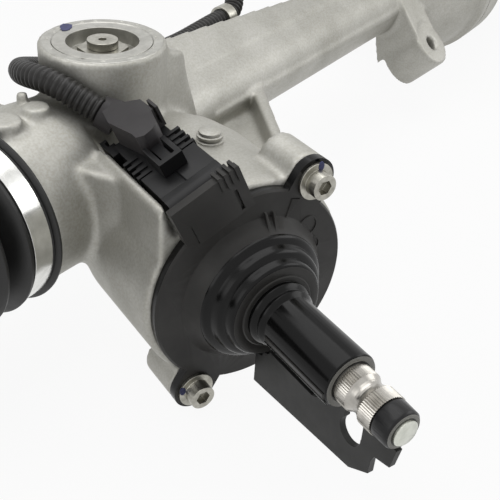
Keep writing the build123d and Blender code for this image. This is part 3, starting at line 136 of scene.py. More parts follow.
def remap(tree, factor, low, high, toLow, toHigh):              # factor low..high becomes toLow..toHigh
    return addNode(tree, "MapRange", {"From Min": low, "From Max": high, "To Min": toLow, "To Max": toHigh},
                   {"Value": factor}).outputs["Result"]


def raiseSkin(tree, shader, height, strength, depthMm, normal=None):    # bump on top of another bump's normal
    links = {"Height": height}
    if normal is not None:
        links["Normal"] = normal
    bump = addNode(tree, "Bump", {"Strength": strength, "Distance": depthMm * mm}, links)
    tree.links.new(bump.outputs["Normal"], shader.inputs["Normal"])
    return bump.outputs["Normal"]


castLook = {"pale": "#bab9b4", "dull": "#a8a7a1", "grainMm": 0.6, "blotchMm": 20.0, "roughness": 0.46}


def castAluminium():                            # die-cast, shot-blasted: soft sheen, fine pebbled skin
    material, tree, shader, place = startMaterial("castAluminium", 0.82, castLook["roughness"])
    blotch = speckle(tree, place, castLook["blotchMm"], 4.0, 0.62)
    grain = speckle(tree, place, castLook["grainMm"], 2.0)
    tint = between(tree, blotch, 0.32, 0.68, castLook["dull"], castLook["pale"])
    fine = between(tree, grain, 0.35, 0.65, "#efeeea", "#ffffff")
    both = addNode(tree, "Mix", None, None, data_type="RGBA", blend_type="MULTIPLY")
    both.inputs["Factor"].default_value = 1.0
    tree.links.new(tint, both.inputs["A"])
    tree.links.new(fine, both.inputs["B"])
    tree.links.new(both.outputs["Result"], shader.inputs["Base Color"])
    tree.links.new(remap(tree, blotch, 0.3, 0.7, 0.6, 0.52), shader.inputs["Roughness"])
    lumps = raiseSkin(tree, shader, speckle(tree, place, 5.0, 2.0), 0.2, 0.25)
    raiseSkin(tree, shader, grain, 0.3, 0.1, lumps)
    return material


def turnedAluminium():                          # machined face: finer, greyer, faint tool rings
    material, tree, shader, place = startMaterial("turnedAluminium", 0.9, 0.38)
    shade = between(tree, speckle(tree, place, 3.0, 5.0, 0.7), 0.3, 0.7, "#9b9a94", "#b9b8b2")
    tree.links.new(shade, shader.inputs["Base Color"])
    raiseSkin(tree, shader, speckle(tree, place, 0.6, 2.0), 0.3, 0.06)
    return material


def groundSteel():                              # ground bar steel with a film of oil
    material, tree, shader, place = startMaterial("groundSteel", 1.0, 0.28)
    shade = between(tree, speckle(tree, place, 2.5, 5.0), 0.3, 0.7, "#a09d97", "#bdbab4")
    tree.links.new(shade, shader.inputs["Base Color"])
    raiseSkin(tree, shader, speckle(tree, place, 0.5, 2.0), 0.2, 0.03)
    return material


def zincPlate():                                # zinc-nickel plating: dull, slightly green grey, uneven sheen
    material, tree, shader, place = startMaterial("zincPlate", 1.0, 0.4)
    stain = speckle(tree, place, 2.2, 4.0, 0.65)
    tree.links.new(between(tree, stain, 0.3, 0.7, "#8e8c84", "#b9b7ae"), shader.inputs["Base Color"])
    tree.links.new(remap(tree, stain, 0.3, 0.7, 0.42, 0.26), shader.inputs["Roughness"])
    raiseSkin(tree, shader, speckle(tree, place, 0.7, 2.0), 0.25, 0.05)
    return material


def springSteel():                              # oil-tempered wire: blue black
    material, tree, shader, place = startMaterial("springSteel", 1.0, 0.35)
    tree.links.new(between(tree, speckle(tree, place, 1.5), 0.3, 0.7, "#4b4a4a", "#6a6867"),
                   shader.inputs["Base Color"])
    return material


def rodCoat():                                  # black phosphate on forged steel
    material, tree, shader, place = startMaterial("rodCoat", 0.6, 0.5)
    patch = speckle(tree, place, 4.0, 5.0, 0.65)
    tree.links.new(between(tree, patch, 0.3, 0.7, "#2b2b2c", "#3d3c3c"), shader.inputs["Base Color"])
    tree.links.new(remap(tree, patch, 0.3, 0.7, 0.58, 0.42), shader.inputs["Roughness"])
    raiseSkin(tree, shader, speckle(tree, place, 0.8, 2.0), 0.3, 0.08)
    return material


def stainlessBand():                            # rolled stainless strip: bright, faint lengthwise lines
    material, tree, shader, place = startMaterial("stainlessBand", 1.0, 0.2)
    tree.links.new(between(tree, speckle(tree, place, 3.0, 4.0), 0.3, 0.7, "#cfcfcb", "#e9e9e6"),
                   shader.inputs["Base Color"])
    raiseSkin(tree, shader, speckle(tree, place, 0.5, 2.0), 0.12, 0.03)
    return material


def brightDisc():                               # turned and polished end ring
    material, tree, shader, place = startMaterial("brightDisc", 1.0, 0.3)
    tree.links.new(between(tree, speckle(tree, place, 2.0, 4.0), 0.3, 0.7, "#bfc1b8", "#d6d8cf"),
                   shader.inputs["Base Color"])
    raiseSkin(tree, shader, speckle(tree, place, 0.5, 2.0), 0.15, 0.04)
    return material


def plastic(name, dark, light, roughness, grainMm, bumpMm, sheen=0.5):    # moulded: even colour, eroded grain
    material, tree, shader, place = startMaterial(name, 0.0, roughness, Specular_IOR_Level=sheen)
    cloud = speckle(tree, place, 9.0, 3.0)
    tree.links.new(between(tree, cloud, 0.3, 0.7, dark, light), shader.inputs["Base Color"])
    sheenMap = remap(tree, cloud, 0.3, 0.7, roughness + 0.05, roughness - 0.05)
    tree.links.new(sheenMap, shader.inputs["Roughness"])
    raiseSkin(tree, shader, speckle(tree, place, grainMm, 2.0), 0.3, bumpMm)
    return material


def bootRubber(name="bootRubber", roughness=0.48):              # chloroprene: deep black, faint bloom
    material, tree, shader, place = startMaterial(name, 0.0, roughness)
    bloom = speckle(tree, place, 7.0, 5.0, 0.65)
    tree.links.new(between(tree, bloom, 0.3, 0.75, "#121212", "#1f1f1e"), shader.inputs["Base Color"])
    sheenMap = remap(tree, bloom, 0.3, 0.7, roughness - 0.06, roughness + 0.1)
    tree.links.new(sheenMap, shader.inputs["Roughness"])
    raiseSkin(tree, shader, speckle(tree, place, 0.9, 2.0), 0.2, 0.06)
    return material


def bluePaint():                                # brushed inspection mark, uneven edge, matt
    material, tree, shader, place = startMaterial("bluePaint", 0.0, 0.6)
    tree.links.new(between(tree, speckle(tree, place, 1.2), 0.3, 0.7, "#23264a", "#3b3f6d"),
                   shader.inputs["Base Color"])
    return material


castMetal = castAluminium()
turnedMetal = turnedAluminium()
steel = groundSteel()
zinc = zincPlate()
spring = springSteel()
rodBlack = rodCoat()
stainless = stainlessBand()
discMetal = brightDisc()
rubber = bootRubber()
sealRubber = bootRubber("sealRubber", 0.6)
coverPlastic = plastic("coverPlastic", "#2e2d2c", "#373634", 0.44, 0.7, 0.04, 0.25)
hubPlastic = plastic("hubPlastic", "#0b0b0b", "#101010", 0.2, 1.4, 0.02, 0.2)
plugPlastic = plastic("plugPlastic", "#161617", "#1c1c1d", 0.38, 0.8, 0.03, 0.25)
ringPlastic = plastic("ringPlastic", "#1e1e1f", "#262627", 0.32, 1.2, 0.03, 0.25)
# light grey plastic used only to paint a highlight on the end faces of the black sleeve and nose ring
highlightPlastic = plastic("highlightPlastic", "#7b7a76", "#878680", 0.45, 1.2, 0.03)
shellPlastic = plastic("shellPlastic", "#353334", "#3d3b3c", 0.5, 0.8, 0.04, 0.3)
conduitPlastic = plastic("conduitPlastic", "#2a2928", "#363534", 0.38, 1.4, 0.05, 0.3)
sleevePlastic = plastic("sleevePlastic", "#0a0a0a", "#0f0f0f", 0.2, 1.6, 0.02, 0.18)
keyPlastic = plastic("keyPlastic", "#2e2e2d", "#383837", 0.5, 0.8, 0.05, 0.25)
bearingPlastic = plastic("bearingPlastic", "#d8d3c2", "#e4e0d2", 0.45, 1.0, 0.03)
coilPlastic = plastic("coilPlastic", "#1f2e22", "#2b3d2e", 0.4, 1.0, 0.05)
paint = bluePaint()
print("materials made")


# ---- mesh helpers
def meshFromGrid(name, points, closeAlong=False, capped=False):
    # rows of points along, columns around: quads between neighbours, each end closed by fans to its mean point
    rows, columns = points.shape[:2]
    vertices = points.reshape(-1, 3)
    upTo = rows if closeAlong else rows - 1
    i, j = np.meshgrid(np.arange(upTo), np.arange(columns), indexing="ij")
    a = i * columns + j
    b = i * columns + (j + 1) % columns
    c = ((i + 1) % rows) * columns + (j + 1) % columns
    d = ((i + 1) % rows) * columns + j
    faces = np.stack([a, b, c, d], -1).reshape(-1, 4).tolist()
    vertices = vertices.tolist()
    if capped:
        for row in (0, rows - 1):
            vertices.append(points[row].mean(0).tolist())
            ring = row * columns + np.arange(columns)
            tip = len(vertices) - 1
            faces += np.stack([ring, np.roll(ring, -1), np.full(columns, tip)], -1).tolist()
    mesh = bpy.data.meshes.new(name)
    mesh.from_pydata((np.array(vertices) * mm).tolist(), [], faces)
    return finishMesh(name, mesh)


def finishMesh(name, mesh, angle=35):
    work = bmesh.new()
    work.from_mesh(mesh)
    bmesh.ops.remove_doubles(work, verts=work.verts, dist=2e-6)
    bmesh.ops.recalc_face_normals(work, faces=work.faces)
    work.to_mesh(mesh)
    work.free()
    mesh.shade_smooth()
    mesh.set_sharp_from_angle(angle=math.radians(angle))
    piece = bpy.data.objects.new(name, mesh)
    bpy.context.scene.collection.objects.link(piece)
    return piece


def dress(piece, material, body=None):
    piece.data.materials.clear()
    piece.data.materials.append(material)
    if body:
        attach(piece, body)
    return piece


def lathe(name, origin, way, side, profile, turns=96):
    # each (along, radius) of the profile goes round: origin + way*along + radius*(side*cos(t) + other*sin(t))
    profile = np.array(profile, float)
    other = np.cross(way, side)
    turn = np.linspace(0, 2 * math.pi, turns, endpoint=False)
    ring = side[None, :] * np.cos(turn)[:, None] + other[None, :] * np.sin(turn)[:, None]
    points = origin + way * profile[:, 0, None, None] + profile[:, 1, None, None] * ring[None]
    return meshFromGrid(name, points)


def merged(nodeName):                           # a CAD node's own triangles, joined up
    mesh = nodes[nodeName].data.copy()
    work = bmesh.new()
    work.from_mesh(mesh)
    bmesh.ops.remove_doubles(work, verts=work.verts, dist=5e-7)
    bmesh.ops.dissolve_limit(work, angle_limit=math.radians(0.6), verts=work.verts, edges=work.edges)
    work.to_mesh(mesh)
    work.free()
    return mesh


def eased(nodeName, widthMm, material, name=None, segments=2):
    # a CAD node with its sharp edges rounded as moulding or tumbling leaves them
    mesh = merged(nodeName)
    mesh.materials.clear()
    piece = bpy.data.objects.new(name or nodeName + "Look", mesh)
    bpy.context.scene.collection.objects.link(piece)
    mesh.shade_smooth()
    mesh.set_sharp_from_angle(angle=math.radians(38))
    bevel = piece.modifiers.new("edges", "BEVEL")
    bevel.width = widthMm * mm
    bevel.segments = segments
    bevel.limit_method = "ANGLE"
    bevel.angle_limit = math.radians(38)
    bevel.harden_normals = True
    bevel.use_clamp_overlap = True
    dress(piece, material, nodes[nodeName]["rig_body"])
    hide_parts(nodeName)
    return piece


def settled(piece):                             # modifiers applied into the mesh
    graph = bpy.context.evaluated_depsgraph_get()
    mesh = bpy.data.meshes.new_from_object(piece.evaluated_get(graph))
    piece.modifiers.clear()
    piece.data = mesh
    return piece


# ---- castings: the node's solid remeshed as one skin, then its inner corners filled to a casting's radii
castShape = {"voxelMm": 1.35, "filletMm": 7.0, "passes": 70, "smoothing": 5, "faces": 185000}


def growFillets(piece, filletMm, passes, keepOut):
    # every pass: pull = mean of neighbours - point; where pull.normal > spacing^2 / (4 * fillet), the point
    # moves out along its normal by 0.9 of the excess, so inner corners fill and open surfaces stay;
    # keepOut points are left alone
    mesh = piece.data
    count = len(mesh.vertices)
    points = np.empty(count * 3)
    mesh.vertices.foreach_get("co", points)
    points = points.reshape(-1, 3) / mm
    edges = np.empty(len(mesh.edges) * 2, int)
    mesh.edges.foreach_get("vertices", edges)
    first, second = edges.reshape(-1, 2).T
    degree = np.bincount(first, minlength=count) + np.bincount(second, minlength=count)
    degree = np.maximum(degree, 1)[:, None]
    normals = np.empty(count * 3)
    mesh.vertices.foreach_get("normal", normals)
    normals = normals.reshape(-1, 3)
    free = ~keepOut(points)
    spacing = np.linalg.norm(points[first] - points[second], axis=1).mean()
    allowed = spacing ** 2 / (4 * filletMm)

    def around(values):
        columns = [np.bincount(first, values[second, k], count) + np.bincount(second, values[first, k], count)
                   for k in range(3)]
        return np.stack(columns, -1) / degree

    for step in range(passes):
        if step % 10 == 0 and step:             # normals follow the growing fillets
            mesh.vertices.foreach_set("co", (points * mm).ravel())
            mesh.update()
            mesh.vertices.foreach_get("normal", normals.reshape(-1))
        pull = around(points) - points
        out = np.einsum("ij,ij->i", pull, normals)
        points += np.where((out > allowed) & free, out - allowed, 0)[:, None] * normals * 0.9
    mesh.vertices.foreach_set("co", (points * mm).ravel())
    mesh.update()


def castSkin(nodeName, shape, keepOut, extras=()):      # one skin over the node's solid and the extra meshes
    mesh = nodes[nodeName].data.copy()
    work = bmesh.new()
    work.from_mesh(mesh)
    for extra in extras:
        work.from_mesh(extra.data)
        bpy.data.objects.remove(extra)
    bmesh.ops.remove_doubles(work, verts=work.verts, dist=5e-7)
    work.to_mesh(mesh)
    work.free()
    piece = bpy.data.objects.new(nodeName + "Skin", mesh)
    bpy.context.scene.collection.objects.link(piece)
    remesh = piece.modifiers.new("skin", "REMESH")
    remesh.mode = "VOXEL"
    remesh.voxel_size = shape["voxelMm"] * mm
    settled(piece)
    growFillets(piece, shape["filletMm"], shape["passes"], keepOut)
    smooth = piece.modifiers.new("smooth", "SMOOTH")
    smooth.factor = 0.5
    smooth.iterations = shape["smoothing"]
    triangles = sum(len(face.vertices) - 2 for face in piece.data.polygons)
    if triangles > shape["faces"]:
        thin = piece.modifiers.new("thin", "DECIMATE")
        thin.ratio = shape["faces"] / triangles
    settled(piece)
    piece.data.shade_smooth()
    print(nodeName, "skin has", len(piece.data.polygons), "faces")
    dress(piece, castMetal, nodes[nodeName]["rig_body"])
    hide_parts(nodeName)
    return piece


def fromAxis(points, origin, way):              # distance along an axis and away from it
    apart = points - origin
    along = apart @ way
    return along, np.linalg.norm(apart - along[:, None] * way, axis=1)


def housingBores(points):
    # true for points on machined bores and on the holes of bolts, which stay as they are
    x, away = fromAxis(points, np.zeros(3), rackWay)
    keep = (away < 20) & (x > -95)
    keep |= (away < 37.2) & (x < -75)
    keep |= (x > 330) & (away < 50)
    keep |= x > 386
    up, fromTower = fromAxis(points, np.zeros(3), upWay)
    keep |= (fromTower < 24.5) & (up > 0)
    keep |= (up > 54) & (fromTower < 31)
    d, fromInput = fromAxis(points, inputStart, inputWay)
    keep |= (fromInput < 45) & (d > 44)
    keep |= (fromInput < 23) & (d > -60) & (d < 60)
    for face in (np.array([316.0, -46.0, -22.0]), np.array([-22.0, 52.0, 2.0])):
        out, off = fromAxis(points, face, np.array([0, -1, 1]) / math.sqrt(2))
        keep |= (off < 8) & (out > -40) & (out < 6)
    return keep


def aroundInput(d, across, up):                 # point at station d of the input axis, across and up from it
    return inputStart + inputWay * d + inputSide * across + upWay * up


ridge = {"fromMm": 58.0, "toMm": 108.0,             # rim beside the plug's seat, (across, up) of the input axis
         "section": ((-44.0, 43.0), (-43.6, 48.4), (-41.6, 49.9), (-39.6, 48.6), (-39.0, 43.0))}
ridgeRows = [[aroundInput(d, *spot) for spot in ridge["section"]] for d in (ridge["fromMm"], ridge["toMm"])]
seatRidge = meshFromGrid("seatRidge", np.array(ridgeRows), capped=True)
castSkin("rack_housing", castShape, housingBores, [seatRidge])
ringedBoss = lathe("ringedBoss", np.array([-5.0, -66.0, 0.0]), upWay, rackWay, [
    (26.0, 0.05), (26.0, 6.3), (29.4, 6.3), (29.7, 6.0), (29.9, 4.9), (30.5, 4.9), (30.7, 5.9), (31.0, 6.1),
    (31.9, 6.1), (32.1, 5.8), (32.3, 4.8), (32.8, 4.7), (33.0, 5.2), (33.6, 5.1), (33.9, 4.5),
    (33.9, 0.05)], 48)
dress(ringedBoss, castMetal, "housing")
print("housing skin made")

# ---- boots: rubber bellows in three pieces, split at two fold roots
bootShape = {"folds": 9, "crestMm": 41.0, "rootMm": 31.0, "wallMm": 1.6, "firstFold": 5.0, "seams": (6, 7)}


def bootRadius(s, end):
    # share = 0..1 over the folds; radius = root + (crest - root) * (0.5 - 0.5 cos(2 pi folds share))^0.8,
    # where root and crest both narrow toward the tie rod as share^1.6
    start, stop = bootShape["firstFold"], end - 14.0
    share = np.clip((s - start) / (stop - start), 0, 1)
    root = bootShape["rootMm"] - 14.5 * share ** 1.6
    crest = bootShape["crestMm"] - 22.0 * share ** 1.6
    wave = (0.5 - 0.5 * np.cos(2 * math.pi * bootShape["folds"] * share)) ** 0.8
    return root + (crest - root) * wave


def makeBoot(side, face, way, ballDistance):
    end = ballDistance + 92.0
    pitch = (end - 14.0 - bootShape["firstFold"]) / bootShape["folds"]
    seamA, seamB = (bootShape["firstFold"] + pitch * k for k in bootShape["seams"])
    cuff = [(-16.7, 36.7), (-16.7, 41.6), (-16.2, 42.3), (-15.2, 42.4), (-14.6, 41.8), (-14.2, 39.6),
            (-13.4, 39.2), (-2.6, 39.2), (-2.0, 39.8), (-1.2, 41.0), (0.2, 41.2), (1.6, 39.6), (3.0, 35.0)]
    tail = [(end - 12.0, 11.4), (end - 9.0, 10.8), (end + 6.0, 10.8), (end + 7.4, 11.6), (end + 8.0, 11.2),
            (end + 8.0, 9.1)]
    wave = np.linspace(bootShape["firstFold"], end - 14.0, bootShape["folds"] * 14 + 1)
    bellows = np.stack([wave, bootRadius(wave, end)], -1)
    wall = bootShape["wallMm"]
    parts = {
        "Bellows": (np.vstack([cuff, bellows[wave <= seamA + 1e-6]]), "housing", "rack", 1.0, seamA),
        "Waist": (bellows[(wave >= seamA - 1e-6) & (wave <= seamB + 1e-6)], "rack", side + "_liner",
                  seamA, seamB),
        "Tail": (np.vstack([bellows[wave >= seamB - 1e-6], tail]), side + "_liner", side + "_rod",
                 seamB, end - 9.0)}
    for word, (outer, bodyA, bodyB, start, stop) in parts.items():
        inner = outer[::-1] - np.array([0.0, wall])
        inner[:, 1] = np.maximum(inner[:, 1], 9.1)
        profile = np.vstack([outer, inner])
        turn = np.linspace(0, 2 * math.pi, 96, endpoint=False)
        ring = np.stack([np.zeros(96), np.cos(turn), np.sin(turn)], -1)
        points = (np.array([face, 0.0, 0.0]) + way * profile[:, 0, None, None] * rackWay
                  + profile[:, 1, None, None] * ring[None])
        piece = meshFromGrid(side + "Boot" + word, points, closeAlong=True)
        dress(piece, rubber)
        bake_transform(piece)
        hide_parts(side + "_boot")


makeBoot("left", -93.0, -1.0, 72.5)
makeBoot("right", 478.0, 1.0, 68.0)
print("boots made")

# ---- corrugated conduit on its held route
conduit = {"radiusMm": 6.0, "grooveMm": 1.0, "pitchMm": 2.8, "around": 28, "perRib": 8}
unitExitZ = 52.5
nippleEnd = np.array([-29.6, -24.2, 39.0])
besideTower = np.array([-37.6, -3.0, 50.0])
conduitWay = (besideTower - nippleEnd) / np.linalg.norm(besideTower - nippleEnd)
route = np.array([
    nippleEnd - conduitWay * 8, besideTower, (-35.0, 17.0, 47.5), (-22.0, 33.0, 41.0), (2.0, 39.0, 32.0),
    (40.0, 33.0, 22.0), (90.0, 28.5, 20.5), (130.0, 27.0, 25.0), (152.0, 27.0, 26.0), (165.0, 36.0, 42.0),
    (200.0, 44.0, 53.0), (262.0, 50.0, 56.0), (318.0, 56.0, 64.0), (378.0, 65.0, 71.0), (440.0, 75.0, 64.0),
    (500.0, 84.0, unitExitZ), (533.0, 84.0, unitExitZ)])


def roundedRoute(corners, stepMm):
    # straight runs joined by tangent arcs, radius = 0.42 * shorter run / tan(half the turn) up to 400,
    # then sampled at even steps
    runs = np.diff(corners, axis=0)
    lengths = np.linalg.norm(runs, axis=1)
    ways = runs / lengths[:, None]
    half = np.arccos(np.clip((ways[:-1] * ways[1:]).sum(1), -1, 1)) / 2
    radii = np.minimum(0.42 * np.minimum(lengths[:-1], lengths[1:]) / np.tan(half), 400.0)
    pieces = [corners[:1]]
    for here, inWay, outWay, angle, radius in zip(corners[1:-1], ways, ways[1:], half, radii):
        inner = (outWay - inWay) / np.linalg.norm(outWay - inWay)
        centre = here + inner * radius / math.cos(angle)
        turn = np.linspace(-angle, angle, 24)[:, None]
        middle = -inner
        along = (inWay + outWay) / np.linalg.norm(inWay + outWay)
        pieces.append(centre + radius * (middle * np.cos(turn) + along * np.sin(turn)))
    pieces.append(corners[-1:])
    line = np.vstack(pieces)
    distance = np.concatenate([[0], np.cumsum(np.linalg.norm(np.diff(line, axis=0), axis=1))])
    even = np.arange(0, distance[-1], stepMm)
    return np.stack([np.interp(even, distance, line[:, k]) for k in range(3)], -1), even


def tubeAlong(name, line, radii, around):
    # rings of the given radii square to the line's own direction
    ways = np.gradient(line, axis=0)
    ways /= np.linalg.norm(ways, axis=1)[:, None]
    sideways = np.cross(ways, upWay)
    sideways /= np.linalg.norm(sideways, axis=1)[:, None]
    other = np.cross(ways, sideways)
    turn = np.linspace(0, 2 * math.pi, around, endpoint=False)
    ring = (sideways[:, None] * np.cos(turn)[None, :, None] + other[:, None] * np.sin(turn)[None, :, None])
    return meshFromGrid(name, line[:, None] + radii[:, None, None] * ring, capped=True)


line, along = roundedRoute(route, conduit["pitchMm"] / conduit["perRib"])
valley = (0.5 + 0.5 * np.cos(2 * math.pi * along / conduit["pitchMm"])) ** 1.8
conduitPiece = tubeAlong("conduitTube", line, conduit["radiusMm"] - 0.05 - conduit["grooveMm"] * valley,
                         conduit["around"])
conduitPiece.data.set_sharp_from_angle(angle=math.radians(80))
dress(conduitPiece, conduitPlastic, "housing")
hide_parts("harness_conduit")
print("conduit made,", round(along[-1]), "mm long")

# ---- machined face of the yoke tower, staked round the plug
towerLook = {"topMm": 57.4, "outerMm": 28.7, "innerMm": 23.6, "stakes": 16, "dentMm": 0.5}


def towerFace():
    # flat ring in polar steps; each stake lowers it by depth * exp(-(dr / (size/2))^2 - (arc / size)^2)
    random = np.random.default_rng(7)
    radius = np.linspace(towerLook["innerMm"], towerLook["outerMm"], 30)
    turn = np.linspace(0, 2 * math.pi, 360, endpoint=False)
    r, t = np.meshgrid(radius, turn, indexing="ij")
    height = np.full_like(r, towerLook["topMm"] + 0.12)
    for k in range(towerLook["stakes"]):
        middle = 2 * math.pi * (k + random.uniform(-0.3, 0.3)) / towerLook["stakes"]
        off = (t - middle + math.pi) % (2 * math.pi) - math.pi
        spot = random.uniform(24.2, 26.6)
        size = random.uniform(0.7, 1.4)
        height -= towerLook["dentMm"] * random.uniform(0.6, 1.2) * np.exp(
            -((r - spot) / (0.5 * size)) ** 2 - (off * r / size) ** 2)
    height -= 0.5 * np.exp(-((r - towerLook["innerMm"]) / 0.35) ** 2)
    height -= 0.9 * np.exp(-((r - towerLook["outerMm"]) / 0.3) ** 2)
    points = np.stack([r * np.cos(t), r * np.sin(t), height], -1)
    piece = meshFromGrid("towerFace", points)
    return dress(piece, turnedMetal, "housing")


towerFace()

# ---- pieces that keep their solid's form, with eased edges
easedPieces = [
    ("sensor_cover", 0.5, coverPlastic, "cover_plastic"),
    ("connector_base", 0.5, coverPlastic, "cover_plastic"),
    ("sensor_socket", 0.4, plugPlastic, "cover_plastic"), ("harness_plug", 0.4, plugPlastic, "cover_plastic"),
    ("plug_backshell", 1.0, shellPlastic, "shell_grey"), ("key_plate", 0.4, keyPlastic, "cover_plastic"),
    ("unit_plug", 0.8, coverPlastic, "cover_plastic"), ("sensor_cover_bolts", 0.35, zinc, "plated_steel"),
    ("case_bolts", 0.35, zinc, "plated_steel"), ("yoke_locknut", 0.3, zinc, "plated_steel"),
    ("yoke_adjuster", 0.25, zinc, "plated_steel"), ("yoke_plug", 0.3, turnedMetal, "machined_aluminium"),
    ("nose_ring", 0.3, ringPlastic, "end_disc"), ("boot_clamps", 0.25, stainless, "stainless"),
    ("conduit_clip", 0.25, zinc, "plated_steel"), ("control_unit", 1.2, castMetal, "unit_housing"),
    ("motor_body", 0.8, turnedMetal, "machined_aluminium"), ("belt_cover", 1.4, castMetal, "cast_aluminium"),
    ("left_tie_rod", 0.5, rodBlack, "rod_black"), ("right_tie_rod", 0.5, rodBlack, "rod_black"),
    ("left_jam_nut", 0.5, zinc, "plated_steel"), ("right_jam_nut", 0.5, zinc, "plated_steel"),
    ("left_boot_clip", 0.3, stainless, "stainless"), ("right_boot_clip", 0.3, stainless, "stainless"),
    ("shaft_sleeve", 0.2, sleevePlastic, "sleeve"), ("pinion_end_cap", 0.5, zinc, "plated_steel")]
for nodeName, width, material, slotName in easedPieces:
    eased(nodeName, width, material)

plainNodes = [
    (steel, ("rack_bar", "left_joint_socket", "right_joint_socket", "pinion_shaft", "pinion_lower_bearing",
             "pinion_upper_bearing", "pinion_bearing_nut", "pinion_end_nut", "torsion_bar", "input_shaft",
             "input_bearing", "ball_nut", "nut_bearing", "bearing_retainer", "motor_shaft", "drive_pulley",
             "driven_pulley")),
    (spring, ("yoke_spring",)), (turnedMetal, ("yoke",)),
    (sealRubber, ("sensor_cover_seal", "shaft_seal", "yoke_seal_ring", "stop_bumpers", "drive_belt")),
    (bearingPlastic, ("left_joint_liner", "right_joint_liner", "yoke_liner", "rack_bushing")),
    (coilPlastic, ("torque_sensor", "sensor_rotor"))]
for material, names in plainNodes:
    for name in names:
        nodes[name].data.materials.clear()
        nodes[name].data.materials.append(material)
print("pieces dressed")

# ---- hub of the sensor cover: polished black dome in rounded steps, over the cover's own solid
hubSteps = [(123.0, 31.2), (124.4, 30.9), (125.3, 30.0), (125.9, 28.6), (126.3, 27.7), (127.5, 27.2),
            (129.5, 26.8), (130.6, 25.9), (131.0, 24.6), (131.2, 23.8), (132.4, 23.4),
            (134.2, 23.1), (135.0, 22.5), (135.3, 21.6), (135.4, 17.0), (135.0, 16.3), (135.0, 15.8),
            (136.1, 15.2), (136.2, 12.8), (134.0, 12.7)]
hub = lathe("sensorHub", inputStart, inputWay, inputSide, hubSteps, 144)
dress(hub, hubPlastic, "housing")
hubFaceSteps = [(135.35, 21.9), (135.5, 21.5), (135.55, 17.1), (135.4, 16.8)]
hubFace = lathe("hubFace", inputStart, inputWay, inputSide, hubFaceSteps, 144)
dress(hubFace, coverPlastic, "housing")


def turnedInput(d, r, degrees):                 # point at station d, distance r, angle from inputSide toward up
    return aroundInput(d, r * math.cos(math.radians(degrees)), r * math.sin(math.radians(degrees)))


def bar(name, rows, material, body):
    # closed skin through rows of corner points, ends capped
    piece = meshFromGrid(name, np.array(rows, float), capped=True)
    return dress(piece, material, body)




def darkFaces(pieceName, material, chosen):     # faces picked by station, radius and how squarely they face out
    piece = bpy.data.objects[pieceName]
    piece.data.materials.append(material)
    for face in piece.data.polygons:
        spot = np.array(face.center) / mm - inputStart
        station = spot @ inputWay
        radius = np.linalg.norm(spot - station * inputWay)
        if chosen(station, radius, float(np.array(face.normal) @ inputWay)):
            face.material_index = 1


darkFaces("sensor_coverLook", hubPlastic,
          lambda station, radius, facing: facing < 0.6 and radius > 44 or radius > 51.5)
darkFaces("connector_baseLook", plugPlastic, lambda station, radius, facing: station < 116.6)

keyLook = bpy.data.objects["key_plateLook"]
keyPoints = np.empty(len(keyLook.data.vertices) * 3)
keyLook.data.vertices.foreach_get("co", keyPoints)
keyPoints = keyPoints.reshape(-1, 3) / mm
station = (keyPoints - inputStart) @ inputWay
below = inputStart[2] - keyPoints[:, 2]
keyEdge = {"hubEndMm": 136.2, "fromMm": 16.0, "toMm": 27.0, "lowerMm": 4.0}     # the part under the hub
besideHub = (station < keyEdge["hubEndMm"]) & (below < keyEdge["toMm"]) & (below > keyEdge["fromMm"])
keyPoints[besideHub, 2] -= keyEdge["lowerMm"]
keyLook.data.vertices.foreach_set("co", (keyPoints * mm).ravel())
keyLook.data.update()

# ---- sleeve: flat rib along its lower side; painted highlight as light grey rings on the end faces of the black sleeve and nose ring; bright end disc of the shaft
sleeveLook = {"from": 144.5, "to": 185.0, "innerMm": 11.9, "outerMm": 13.1, "firstDeg": 188.0, "lastDeg": 217.0}
ribAngles = np.linspace(sleeveLook["firstDeg"], sleeveLook["lastDeg"], 9)
bar("sleeveRib", [[turnedInput(d, sleeveLook["outerMm"] - drop, a) for a in ribAngles]
                  + [turnedInput(d, sleeveLook["innerMm"], a) for a in ribAngles[::-1]]
                  for d, drop in ((sleeveLook["from"], 0.6), (sleeveLook["from"] + 0.6, 0.0),
                                  (sleeveLook["to"] - 0.6, 0.0), (sleeveLook["to"], 0.6))],
    coverPlastic, "input")
# sleeveFace and noseFace are thin light grey rings, a painted highlight on black plastic end faces
faces = {"sleeveFace": ([(186.0, 12.0), (186.12, 11.8), (186.12, 10.0), (186.0, 9.7)], highlightPlastic, "sleeve"),
         "noseFace": ([(216.3, 7.9), (216.62, 7.6), (216.62, 6.3), (216.3, 6.1)], highlightPlastic, "end_disc"),
         "endDisc": ([(216.0, 5.75), (217.6, 5.75), (218.2, 5.1), (218.3, 4.9), (218.3, 0.05)], discMetal,
                     "end_disc")}
for name, (profile, material, slotName) in faces.items():
    dress(lathe(name, inputStart, inputWay, inputSide, profile, 72), material, "input")

# ---- brushed inspection marks on the tower, each an uneven patch just above the metal
marks = {"towerMark": [(-0.6, 26.4), (1.4, 27.6), (3.5, 28.0), (4.9, 26.2), (5.4, 23.9), (2.6, 21.6),
                       (-0.5, 20.3), (-2.4, 20.7), (-3.7, 21.8), (-2.4, 24.0)]}
for name, outline in marks.items():
    outline = np.array(outline)
    low = np.column_stack([outline, np.full(len(outline), 57.3)])
    high = np.column_stack([outline, np.full(len(outline), 57.66)])
    bar(name, [low, high], paint, "housing")
boltMarks = {"lowerBoltMark": (-35.8, -44.4), "upperBoltMark": (30.2, 54.3)}
around = np.linspace(0, 2 * math.pi, 14, endpoint=False)
for name, (across, high) in boltMarks.items():
    bar(name, [[aroundInput(d, across + 1.5 * math.cos(a), high + 2.2 * math.sin(a)) for a in around]
               for d in (117.8, 118.3)], paint, "housing")

